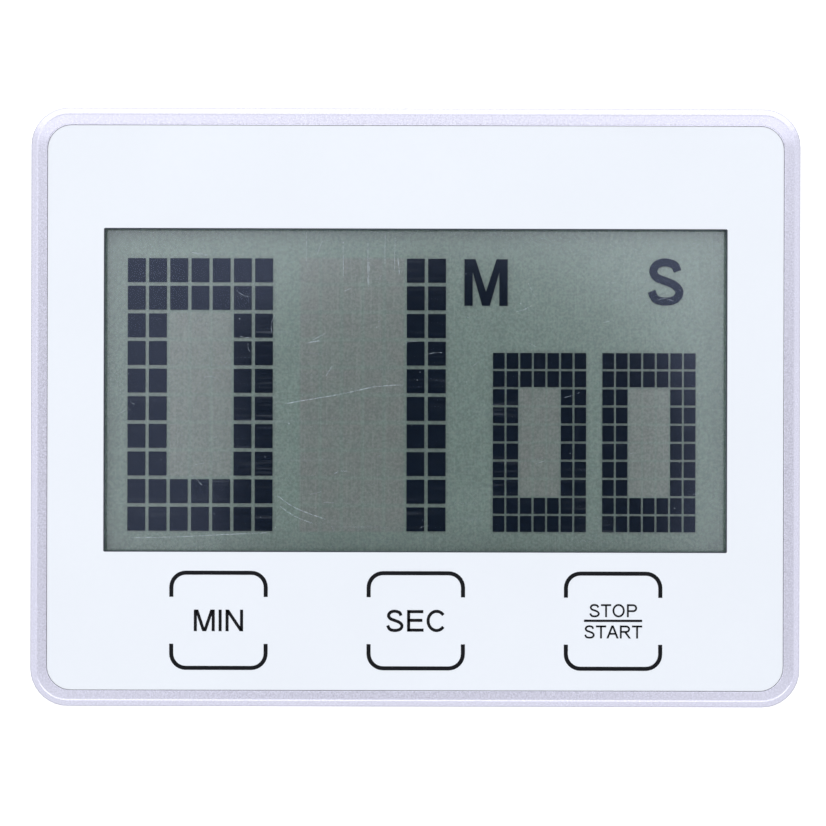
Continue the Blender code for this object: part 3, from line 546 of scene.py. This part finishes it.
def glyph_strokes(letter):
    """(advance, strokes) of a plain sans-serif capital, in ems."""
    top = CAP - STEM / 2
    foot = STEM / 2
    past = 0.04  # how far a slanting stroke runs on before it is cut off level
    if letter == "M":
        return 0.833, [
            [(0.12, 0), (0.12, CAP)],
            [(0.713, 0), (0.713, CAP)],
            [(0.148, CAP + past), (0.4165, -past)],
            [(0.685, CAP + past), (0.4165, -past)],
        ]
    if letter == "I":
        return 0.22, [[(0.11, 0), (0.11, CAP)]]
    if letter == "N":
        return 0.722, [
            [(0.12, 0), (0.12, CAP)],
            [(0.602, 0), (0.602, CAP)],
            [(0.1, CAP + 0.03), (0.622, -0.03)],
        ]
    if letter == "E":
        bars = [[(0.1, y), (x, y)] for x, y in ((0.612, top), (0.58, 0.375), (0.62, foot))]
        return 0.667, [[(0.124, 0), (0.124, CAP)], *bars]
    if letter == "T":
        return 0.611, [[(0.022, top), (0.589, top)], [(0.3055, 0), (0.3055, CAP)]]
    if letter == "A":
        return 0.667, [
            [(0.035, -past), (0.347, CAP + past)],
            [(0.632, -past), (0.32, CAP + past)],
            [(0.14, 0.255), (0.53, 0.255)],
        ]
    if letter in "PR":
        low = 0.335 if letter == "P" else 0.365
        centre = (top + low) / 2
        turn = arc((0.42, centre), (0.165, (top - low) / 2), 85, -85)
        bowl = [(0.12, top), (0.4, top), *turn, (0.4, low), (0.12, low)]
        leg = [[(0.36, low), (0.655, -past)]] if letter == "R" else []
        return (0.722 if leg else 0.667), [[(0.124, 0), (0.124, CAP)], bowl, *leg]
    if letter == "S":
        return 0.667, [letter_s(0.045, -0.012, 0.575, CAP + 0.024, STEM)]
    ring = (0.339 - STEM / 2, 0.37 - STEM / 2)
    if letter == "O":
        return 0.778, [arc((0.389, CAP / 2), ring, 0, 345, 23)]
    return 0.722, [arc((0.386, CAP / 2), (0.334 - STEM / 2, ring[1]), 38, 322, 24)]


def write(shape, text, centre, bottom, cap_height):
    """Lays a word out with its middle at centre and its foot at bottom, in millimetres."""
    size = cap_height / CAP
    letters = [glyph_strokes(letter) for letter in text]
    cursor = centre - size * sum(advance for advance, _ in letters) / 2
    for letter, (advance, strokes) in zip(text, letters, strict=True):
        part = bmesh.new()
        for stroke in strokes:
            ribbon(part, stroke, STEM, closed=letter == "O")
        if letter in "MNAR":
            trim(part, 0.0, CAP)
        place = Matrix.Translation((cursor, bottom, 0)) @ Matrix.Diagonal((size, size, size, 1))
        bmesh.ops.transform(part, matrix=place, verts=part.verts)
        absorb(shape, part)
        cursor += size * advance


def trim(part, low, high):
    """Cuts a letter off level at its foot and its top."""
    for height, away in ((low, -1), (high, 1)):
        bmesh.ops.bisect_plane(
            part,
            geom=part.verts[:] + part.edges[:] + part.faces[:],
            plane_co=(0, height, 0),
            plane_no=(0, away, 0),
            clear_outer=True,
        )


def absorb(shape, part):
    """Moves all of part's faces into shape."""
    twins = {vertex: shape.verts.new(vertex.co) for vertex in part.verts}
    for face in part.faces:
        shape.faces.new([twins[vertex] for vertex in face.verts])
    part.free()


def stand_up(shape, depth):
    """Stands flat faces, drawn in millimetres from the case's middle, upright at that depth."""
    for vertex in shape.verts:
        x, up, _ = vertex.co
        vertex.co = (x * MM, depth, MIDDLE + up * MM)


def thicken(shape, offset):
    """Makes upright faces solid, as far as offset along Y."""
    grown = bmesh.ops.extrude_face_region(shape, geom=shape.faces[:])
    moved = [item for item in grown["geom"] if isinstance(item, bmesh.types.BMVert)]
    bmesh.ops.translate(shape, verts=moved, vec=(0, offset, 0))
    bmesh.ops.recalc_face_normals(shape, faces=shape.faces)


def piece(name, shape, material, body):
    """A visible piece that rides on a body."""
    mesh = bpy.data.meshes.new(name)
    shape.to_mesh(mesh)
    shape.free()
    mesh.materials.append(material)
    made = bpy.data.objects.new(name, mesh)
    bpy.context.scene.collection.objects.link(made)
    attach(made, body)


def piece_on_face(name, shape, depth, thickness, material):
    """A thin solid that stands out forwards from that depth."""
    stand_up(shape, depth)
    bmesh.ops.recalc_face_normals(shape, faces=shape.faces)
    for face in shape.faces:
        face.normal_update()
        if face.normal.y > 0:
            face.normal_flip()
    thicken(shape, -thickness * MM)
    piece(name, shape, material, "case")


def piece_on_back(name, shape, depth, material, body):
    """A low mark that stands out backwards from that depth."""
    stand_up(shape, depth)
    thicken(shape, MARK_HEIGHT * MM)
    piece(name, shape, material, body)


def rectangle(shape, left, right, bottom, top):
    corners = ((left, bottom), (right, bottom), (right, top), (left, top))
    shape.faces.new([shape.verts.new((x, z, 0)) for x, z in corners])


# ---------------------------------------------------------------- printing on the face, and painted shade at the window's edge
def key_frame(shape, x, side):
    """Half of a key's frame: a U that opens towards the key's middle.

    side is 1 for the top half and -1 for the lower one.
    """
    half = (KEY_WIDTH - KEY_LINE) / 2
    far = (KEY_TALL - KEY_LINE) / 2
    radius = KEY_RADIUS - KEY_LINE / 2
    reach = KEY_TALL / 2 - KEY_ARM
    outline = [(-half, reach), *arc((-half + radius, far - radius), (radius, radius), 180, 90, 8)]
    outline += [*arc((half - radius, far - radius), (radius, radius), 90, 0, 8), (half, reach)]
    ribbon(shape, [(x + across, KEY_HEIGHT + side * up) for across, up in outline], KEY_LINE)


def add_printing(black):
    """The three keys' frames and the words in them."""
    shape = bmesh.new()
    left, middle, right = (KEYS_X + column * KEY_PITCH for column in (-1, 0, 1))
    for x in (left, middle, right):
        for side in (1, -1):
            key_frame(shape, x, side)
    write(shape, "MIN", left, KEY_HEIGHT + WORD_FOOT, WORD_CAP)
    write(shape, "SEC", middle, KEY_HEIGHT + WORD_FOOT, WORD_CAP)
    write(shape, "STOP", right, KEY_HEIGHT + STOP_FOOT, SMALL_CAP)
    bar_foot, bar_top = KEY_HEIGHT + BAR_FOOT, KEY_HEIGHT + BAR_TOP
    rectangle(shape, right - BAR_HALF_WIDTH, right + BAR_HALF_WIDTH, bar_foot, bar_top)
    write(shape, "START", right, KEY_HEIGHT + START_FOOT, SMALL_CAP)
    piece_on_face("key_printing", shape, FASCIA_LOW.y, INK_THICKNESS, black)


def add_window_edge(material):
    """Painted shade: a dark ring just inside the window's cut edge, standing in for the cut wall
    of the printed sheet in shadow; it shows as a fine dark line round the window.
    """
    shape = bmesh.new()
    half_width, half_height = WINDOW_WIDTH / 2, WINDOW_HEIGHT / 2
    inset = WINDOW_EDGE / 2
    corners = []
    for x, z in ((-1, -1), (1, -1), (1, 1), (-1, 1)):
        corners.append((x * (half_width - inset), WINDOW_CENTRE + z * (half_height - inset)))
    ribbon(shape, corners, WINDOW_EDGE, closed=True)
    thickness = (FASCIA_HIGH.y - FASCIA_LOW.y) / MM - WINDOW_EDGE_BELOW_FACE
    piece_on_face("window_edge", shape, FASCIA_HIGH.y, thickness, material)


# ---------------------------------------------------------------- display
def lit(digit_shape, column, row):
    """Whether a digit's block is switched on: a 0's outline, or a 1's stroke at the right."""
    if digit_shape == "1":
        return column >= DIGIT_COLUMNS - STROKE_BLOCKS
    edge_column = column < STROKE_BLOCKS or column >= DIGIT_COLUMNS - STROKE_BLOCKS
    edge_row = row < STROKE_BLOCKS or row >= DIGIT_ROWS - STROKE_BLOCKS
    return edge_column or edge_row


def add_segments(material):
    """The lit blocks and the letters over the digits, just in front of the film."""
    shape = bmesh.new()
    for digit in DIGITS:
        (across, down), (width, height) = digit["pitch"], digit["block"]
        for column in range(DIGIT_COLUMNS):
            for row in range(DIGIT_ROWS):
                if lit(digit["shape"], column, row):
                    left = digit["left"] + column * across
                    top = digit["top"] - row * down
                    rectangle(shape, left, left + width, top - height, top)
    bold_m(shape, *LETTER_M)
    ribbon(shape, letter_s(*LETTER_S, LETTER_S_WEIGHT), LETTER_S_WEIGHT)
    depth = FILM_LOW.y - SEGMENT_LIFT * MM
    piece_on_face("lcd_segments", shape, depth, SEGMENT_THICKNESS, material)


def bold_m(shape, left, bottom, width, height):
    """A heavy M: a stem and half of the V, and both again in mirror image."""
    stem, shoulder, half_tip = 0.97, 1.3, 0.45
    middle = width / 2
    fork, armpit = height * 0.3, height * 0.72
    tip_left = middle - half_tip
    left_stem = [(0, 0), (stem, 0), (stem, armpit), (shoulder, height), (0, height)]
    left_v = [(stem, armpit), (tip_left, 0), (middle, 0), (middle, fork), (shoulder, height)]
    for part in (left_stem, left_v):
        for mirrored in (False, True):
            points = [(left + (width - x if mirrored else x), bottom + z) for x, z in part]
            shape.faces.new([shape.verts.new((x, z, 0)) for x, z in points])


# Marks on the clear sheet, from the middle of the case: each scratch's width and the points it
# runs through, and the largest specks of dust
LONG_SCRATCH = [(-15.2, 0.4), (-13.8, 0.7), (-11.3, 1.1), (-9.3, 1.45)]
LONG_SCRATCH += [(-7.3, 1.85), (-5.2, 2.35), (-2.9, 2.6), (-1.5, 2.65)]
SCRATCHES = [
    (0.065, LONG_SCRATCH),
    (0.05, [(-33.4, -15.3), (-28.0, -15.2), (-22.0, -14.9), (-17.4, -14.7)]),
    (0.05, [(-16.2, -10.3), (-14.0, -11.8), (-10.5, -13.1)]),
    (0.045, [(-15.8, -11.6), (-14.2, -12.7), (-12.0, -13.6)]),
    (0.075, [(-12.8, 7.5), (-11.9, 7.7), (-11.2, 7.8)]),
    (0.045, [(-12.0, 7.9), (-10.7, 8.6)]),
    (0.07, [(-26.2, 18.1), (-24.4, 17.8)]),
    (0.07, [(-26.0, -8.0), (-25.0, -9.1)]),
    (0.05, [(-11.5, 18.0), (-11.0, 19.4)]),
    (0.05, [(-8.4, 13.6), (-7.5, 14.0)]),
    (0.05, [(-5.6, 19.6), (-5.6, 14.5)]),
    (0.04, [(-5.45, 17.0), (-5.5, 13.8)]),
    (0.045, [(-8.5, 19.0), (-8.45, 15.4)]),
    (0.035, [(-12.8, 20.5), (-12.8, 16.6)]),
    (0.035, [(-3.6, 20.4), (-3.6, 16.8)]),
    (0.06, [(-2.1, 17.5), (-1.9, 15.6)]),
    (0.035, [(-2.4, 20.2), (-2.5, 16.0)]),
    (0.04, [(13.2, 14.6), (14.0, 13.0)]),
    (0.04, [(22.0, 10.0), (23.5, 10.4)]),
]
SPECKS = [(-8.5, 19.3), (-8.0, 16.3), (-4.3, 10.1), (-4.55, 9.4), (-11.1, 1.95), (-7.2, 1.9)]
SPECKS += [(-14.8, -1.9), (-4.2, -5.7), (-9.7, -16.3), (12.3, 12.2), (12.9, 11.6), (21.6, 9.4)]
SPECKS += [(23.8, 8.1), (6.1, 10.6)]


def add_scratches(material):
    """Hairline scratches and specks of dust on the clear sheet over the display."""
    small_scratches, small_specks, margin = 34, 80, 1.5
    mostly_level = 0.6
    chance = random.Random(7)
    shape = bmesh.new()
    half_width, half_height = WINDOW_WIDTH / 2 - margin, WINDOW_HEIGHT / 2 - margin

    def anywhere():
        """A place on the clear sheet, from its middle."""
        return chance.uniform(-half_width, half_width), chance.uniform(-half_height, half_height)

    for width, points in SCRATCHES:
        ribbon(shape, smooth_through(points, 4), width)
    for _ in range(small_scratches):
        start = Vector(anywhere())
        level = chance.random() < mostly_level
        angle = chance.gauss(0.1, 0.35) if level else chance.uniform(0, math.pi)
        run = Vector((math.cos(angle), math.sin(angle))) * chance.uniform(0.4, 2.2)
        bend = Vector((-run.y, run.x)) * chance.uniform(-0.12, 0.12)
        points = [start, start + run / 2 + bend, start + run]
        if all(abs(point.x) < half_width and abs(point.y) < half_height for point in points):
            placed = [(point.x, WINDOW_CENTRE + point.y) for point in points]
            ribbon(shape, smooth_through(placed, 4), chance.uniform(0.02, 0.045))
    specks = [(x, up, chance.uniform(0.07, 0.12)) for x, up in SPECKS]
    for _ in range(small_specks):
        x, up = anywhere()
        specks.append((x, WINDOW_CENTRE + up, chance.uniform(0.03, 0.07)))
    for x, up, size in specks:
        points = arc((x, up), (size * chance.uniform(0.6, 1.0), size), 0, 300, 5)
        shape.faces.new([shape.verts.new((*point, 0)) for point in points])
    depth = LENS_LOW.y
    piece_on_face("lens_scratches", shape, depth, SCRATCH_THICKNESS, material)


# ---------------------------------------------------------------- back
def add_back_marks(material):
    """A raised arrow on the battery door, and a dot and a bar beside the power switch."""
    shape = bmesh.new()
    foot = (DOOR_LOW.z - MIDDLE) / MM
    tip, base, half_width = foot + 4.8, foot + 7.0, 1.6
    points = [(-half_width, base), (0.0, tip), (half_width, base)]
    shape.faces.new([shape.verts.new((x, z, 0)) for x, z in points])
    piece_on_back("door_arrow", shape, DOOR_HIGH.y, material, "battery_door")

    shape = bmesh.new()
    half_travel, away, line = 1.0, 6.8, 0.3
    ring_radius, bar_reach = 0.7, 0.85
    up = ((KNOB_LOW.z + KNOB_HIGH.z) / 2 - MIDDLE) / MM
    middle = (KNOB_LOW.x + KNOB_HIGH.x) / 2 / MM + half_travel
    ring = arc((middle - away, up), (ring_radius, ring_radius), 0, 345, 23)
    ribbon(shape, ring, line, closed=True)
    left, right = middle + away - line / 2, middle + away + line / 2
    rectangle(shape, left, right, up - bar_reach, up + bar_reach)
    piece_on_back("switch_marks", shape, COVER_HIGH.y, material, "case")


# ---------------------------------------------------------------- finishes on the CAD's nodes
def finish_nodes():
    """Gives each CAD node its finish, and returns the case's paint."""
    paint = silver_paint()
    nickel = metal("nickel", (0.72, 0.7, 0.66), (0.5, 0.48, 0.44), 0.22)
    steel = metal("steel", (0.6, 0.6, 0.62), (0.4, 0.4, 0.42), 0.3, brushed=(1, 1, 6))
    resin = moulded("black_resin", (0.022, 0.022, 0.024), roughness=0.42)
    white = moulded("white_plastic", (0.78, 0.79, 0.82), 0.93)
    finishes = {
        "front_case": paint,
        "rear_cover": paint,
        "battery_door": paint,
        "stand": paint,
        "fascia_panel": white_print(),
        "fascia_tape": moulded("tape", (0.7, 0.68, 0.6), 0.9, 0.7),
        "display_lens": thin_clear("clear_plastic", (0.985, 0.995, 0.99), 0.06, 1.1),
        "lcd_front_polarizer": lcd_film(),
        "lcd_front_glass": thin_clear("glass", (0.96, 0.985, 0.97), 0.02, 1.4),
        "lcd_rear_polarizer": metal(
            "reflector", (0.7, 0.71, 0.7), (0.62, 0.63, 0.62), 0.4, brushed=(0.2, 1, 5)
        ),
        "lcd_holder": white,
        "film_connector": white,
        "zebra_strip": moulded("black_rubber", (0.03, 0.03, 0.03), roughness=0.75),
        "touch_film": amber_film(),
        "main_board": circuit_board(),
        "battery_cell": cell_wrap(),
        "piezo_plate": metal("brass", (0.78, 0.57, 0.24), (0.6, 0.4, 0.15), 0.28),
        "piezo_ceramic": moulded("ceramic", (0.75, 0.73, 0.68), 0.9, 0.5),
        "battery_wire_red": moulded("red_wire", (0.5, 0.025, 0.015), 0.85, 0.42),
        "battery_wire_black": moulded("black_wire", (0.02, 0.02, 0.02), 0.85, 0.42),
        "switch_body": steel,
    }
    finishes["lcd_rear_glass"] = finishes["lcd_front_glass"]
    finishes["buzzer_wire_red"] = finishes["battery_wire_red"]
    finishes["buzzer_wire_black"] = finishes["battery_wire_black"]
    for name in ("controller_blob", "touch_chip", "boost_coil", "transistor"):
        finishes[name] = resin
    for name in ("switch_lever", "switch_knob"):
        finishes[name] = resin
    for name in ("crystal_can", "capacitor_can", "contact_positive", "contact_spring"):
        finishes[name] = nickel
    for name in ("magnet_left", "magnet_right"):
        finishes[name] = nickel
    for name, node in NODES.items():
        material = finishes.get(name, steel)
        for slot in node.material_slots:
            slot.material = material
    return paint


# ---------------------------------------------------------------- studio
def add_floor():
    """A plain white floor, and the wall it sweeps up into.

    They glow, so that they stay evenly white, but light nothing and show in no reflection.
    """
    made = Finish("studio_white", (0.45, 0.45, 0.45), 0.9)
    clouds = made.noise(0.01, 2.0)
    made.set(**{"Base Color": made.mix(clouds, (0.44, 0.44, 0.44), (0.46, 0.46, 0.46))})
    glow = made.ramp(made.axis("Z"), 20, 300, 0.8, 1.0)
    made.set(**{"Emission Color": (1.0, 1.0, 1.0), "Emission Strength": glow})
    made.set(**{"Specular IOR Level": 0.0})
    mesh = bpy.data.meshes.new("studio_floor")
    shape = bmesh.new()
    reach, bend_start, bend = 2.5, 0.6, 0.5
    profile = [(-reach, 0.0), (bend_start, 0.0)]
    for along, up in arc((bend_start, bend), (bend, bend), -80, 0, 8):
        profile.append((along, up))
    profile.append((bend_start + bend, reach))
    left, right = ([shape.verts.new((x, y, z)) for y, z in profile] for x in (-reach, reach))
    for a, b, c, d in zip(left, right, right[1:], left[1:], strict=False):
        shape.faces.new((a, b, c, d))
    shape.to_mesh(mesh)
    shape.free()
    mesh.shade_smooth()
    mesh.materials.append(made.material)
    floor = bpy.data.objects.new("studio_floor", mesh)
    bpy.context.scene.collection.objects.link(floor)
    floor.visible_glossy = False
    floor.visible_diffuse = False


def add_opening(camera_place):
    """The dark arched opening that the camera looks through, which shows only in reflections.

    Each point of its outline is placed where the reflection shows on the face: across, up, and
    how far its edge is blurred inwards. On the rim the card is as bright as the tent ahead.
    """
    outline = [
        (-24.2, -24.0, 2.0),
        (-23.4, -14.0, 1.6),
        (-21.8, -6.0, 0.5),
        (-21.6, 10.9, 0.3),
        (-19.0, 11.0, 0.5),
        (-16.6, 11.8, 1.4),
        (-12.6, 15.6, 2.5),
        (-6.6, 19.2, 3.2),
        (1.0, 20.6, 3.2),
        (9.0, 20.4, 4.0),
        (18.5, 18.0, 4.0),
        (25.4, 13.2, 3.6),
        (30.4, 8.0, 4.0),
        (34.0, -1.0, 5.5),
        (34.8, -24.0, 6.5),
    ]
    core = Vector((5.0, -4.0))
    shape = bmesh.new()
    blur = shape.verts.layers.float.new("blur")
    rim, inner = [], []
    for x, up, softness in outline:
        edge = Vector((x, up))
        inward = (core - edge).normalized() * softness
        if up < core.y:
            inward = Vector((inward.x, 0)).normalized() * softness
        for ring, place in ((rim, edge), (inner, edge + inward)):
            ring.append(shape.verts.new((place.x * MM, 0, MIDDLE + place.y * MM)))
        rim[-1][blur] = 1.0
    shape.faces.new(inner)
    for a, b, c, d in zip(rim, rim[1:], inner[1:], inner, strict=False):
        shape.faces.new((a, b, c, d))
    mesh = bpy.data.meshes.new("studio_opening")
    shape.to_mesh(mesh)
    shape.free()

    made = Finish("studio_dark", (0.01, 0.011, 0.013), 0.9)
    fade = made.nodes.new("ShaderNodeAttribute")
    fade.attribute_name = "blur"
    glow = made.math("MULTIPLY", fade.outputs["Fac"], TENT_AHEAD)
    made.set(**{"Emission Color": TENT_COLOUR, "Emission Strength": glow})
    made.set(**{"Specular IOR Level": 0.0})
    mesh.materials.append(made.material)

    opening = bpy.data.objects.new("studio_opening", mesh)
    bpy.context.scene.collection.objects.link(opening)
    # Grown away from the camera's axis, so that the reflection falls on the outline as drawn
    spread = 1 + OPENING_DISTANCE / CAMERA_DISTANCE
    opening.scale = (spread, 1, spread)
    opening.location = camera_place * (1 - spread)
    opening.location.y = FASCIA_LOW.y - OPENING_DISTANCE * MM
    opening.visible_camera = False
    opening.visible_diffuse = False
    opening.visible_shadow = False
    opening.visible_transmission = False


def add_tent():
    """A white tent all round, as a sky whose brightness depends on direction.

    It is brightest overhead, even from side to side, and dimmer behind. Straight ahead, where the
    camera stands, it has the darker and paler patches that the face reflects. Matt surfaces get a
    little less of it, and the camera sees a plain white backdrop in its place.
    """
    world = bpy.data.worlds.new("studio_tent")
    bpy.context.scene.world = world
    world.use_nodes = True
    shade = world.node_tree.nodes["Background"]
    tent = Graph(world.node_tree, "Generated")
    up, across = tent.along("Z"), tent.along("X")
    ahead = tent.math("MULTIPLY", tent.along("Y"), -1.0)
    beside = tent.math("ABSOLUTE", across)
    height = tent.math("ABSOLUTE", up)
    off_axis = tent.math("MAXIMUM", beside, height)

    # Each ramp goes from one direction to another, and from one brightness to another
    corners = tent.math(
        "MULTIPLY",
        tent.ramp(tent.math("MINIMUM", beside, height), 0.0, 0.065, -0.07, 0.4),
        tent.ramp(ahead, 0.87, 0.94),
    )
    near_axis = tent.math(
        "MULTIPLY",
        tent.math(
            "ADD",
            tent.ramp(up, -0.035, 0.035, -0.22, 0.2),
            tent.ramp(across, -0.04, 0.05, -0.05, 0.2),
        ),
        tent.ramp(off_axis, 0.065, 0.12, 1.0, 0.0),
    )
    above_and_below = tent.total(
        tent.ramp(up, -0.1, 0.1, -0.08, 0.08),
        tent.ramp(up, 0.07, 0.14, 0.0, 0.2, smooth=True),
        tent.ramp(up, -0.5, -0.26, 1.05, 0.0, smooth=True),
    )
    at_the_sides = tent.total(
        tent.ramp(beside, 0.08, 0.16, 0.0, -0.09, smooth=True),
        tent.ramp(beside, 0.3, 0.6, 0.0, 0.3, smooth=True),
        tent.ramp(across, -0.5, -0.35, 0.2, 0.0),
    )
    ring = tent.ramp(off_axis, 0.07, 0.14, 0.0, -0.1)
    front = tent.total(TENT_AHEAD, above_and_below, at_the_sides, ring, near_axis, corners)
    around = tent.math(
        "MULTIPLY",
        tent.ramp(up, 0.2, 0.75, 1.04, 1.5, smooth=True),
        tent.ramp(ahead, -0.5, -0.08, 0.55, 1.0, smooth=True),
    )
    share = tent.ramp(ahead, 0.12, 0.4, smooth=True)
    blend = tent.math("MULTIPLY", share, tent.math("SUBTRACT", front, around))

    ray = tent.nodes.new("ShaderNodeLightPath").outputs
    fill = tent.ramp(ray["Is Diffuse Ray"], 0, 1, 1.0, TENT_FILL)
    strength = tent.math("MULTIPLY", tent.total(around, blend), fill)
    backdrop = tent.math("MULTIPLY", ray["Is Camera Ray"], BACKDROP)
    tent.feed(shade.inputs["Strength"], tent.math("MAXIMUM", strength, backdrop))
    tent.feed(shade.inputs["Color"], TENT_COLOUR)


def add_lamp():
    """One soft light in front of the face, above it and a little to the left."""
    lamp = bpy.data.lights.new("key_softbox", "AREA")
    lamp.shape = "RECTANGLE"
    lamp.size, lamp.size_y = (side * MM for side in LAMP_SIZE)
    lamp.energy = LAMP_WATTS
    lamp.color = TENT_COLOUR
    key = bpy.data.objects.new("key_softbox", lamp)
    bpy.context.scene.collection.objects.link(key)
    target = Vector((0, 0, MIDDLE))
    turn, rise = (math.radians(angle) for angle in LAMP_ANGLES)
    direction = Vector((math.sin(turn), -math.cos(turn) * math.cos(rise), math.sin(rise)))
    key.location = target + LAMP_DISTANCE * MM * direction
    key.rotation_euler = (target - key.location).to_track_quat("-Z", "Y").to_euler()
    key.visible_camera = False
    key.visible_glossy = False


def add_camera():
    """A camera straight ahead of the face. Returns its place."""
    lens = bpy.data.cameras.new("camera")
    lens.sensor_width = SENSOR_WIDTH
    lens.lens = SENSOR_WIDTH * CAMERA_DISTANCE / FRAME_WIDTH
    lens.clip_start = 0.01
    camera = bpy.data.objects.new("camera", lens)
    bpy.context.scene.collection.objects.link(camera)
    x, up = CAMERA_OFFSET
    camera.location = (x * MM, FASCIA_LOW.y - CAMERA_DISTANCE * MM, MIDDLE + up * MM)
    camera.rotation_euler = (math.radians(90), math.radians(CAMERA_ROLL), 0)
    bpy.context.scene.camera = camera
    return camera.location.copy()


def main():
    paint = finish_nodes()
    add_printing(ink("black_ink", (0.004, 0.004, 0.005)))
    # The window's dark edge ring is painted shade for the sheet's cut edge in shadow, not ink
    add_window_edge(ink("edge_painted_shade", (0.06, 0.065, 0.075), 0.7))
    add_segments(segment_ink())
    add_scratches(faint_mark())
    add_back_marks(paint)
    place = add_camera()
    add_opening(place)
    add_floor()
    add_tent()
    add_lamp()
    bpy.context.scene.view_settings.view_transform = "Standard"


main()
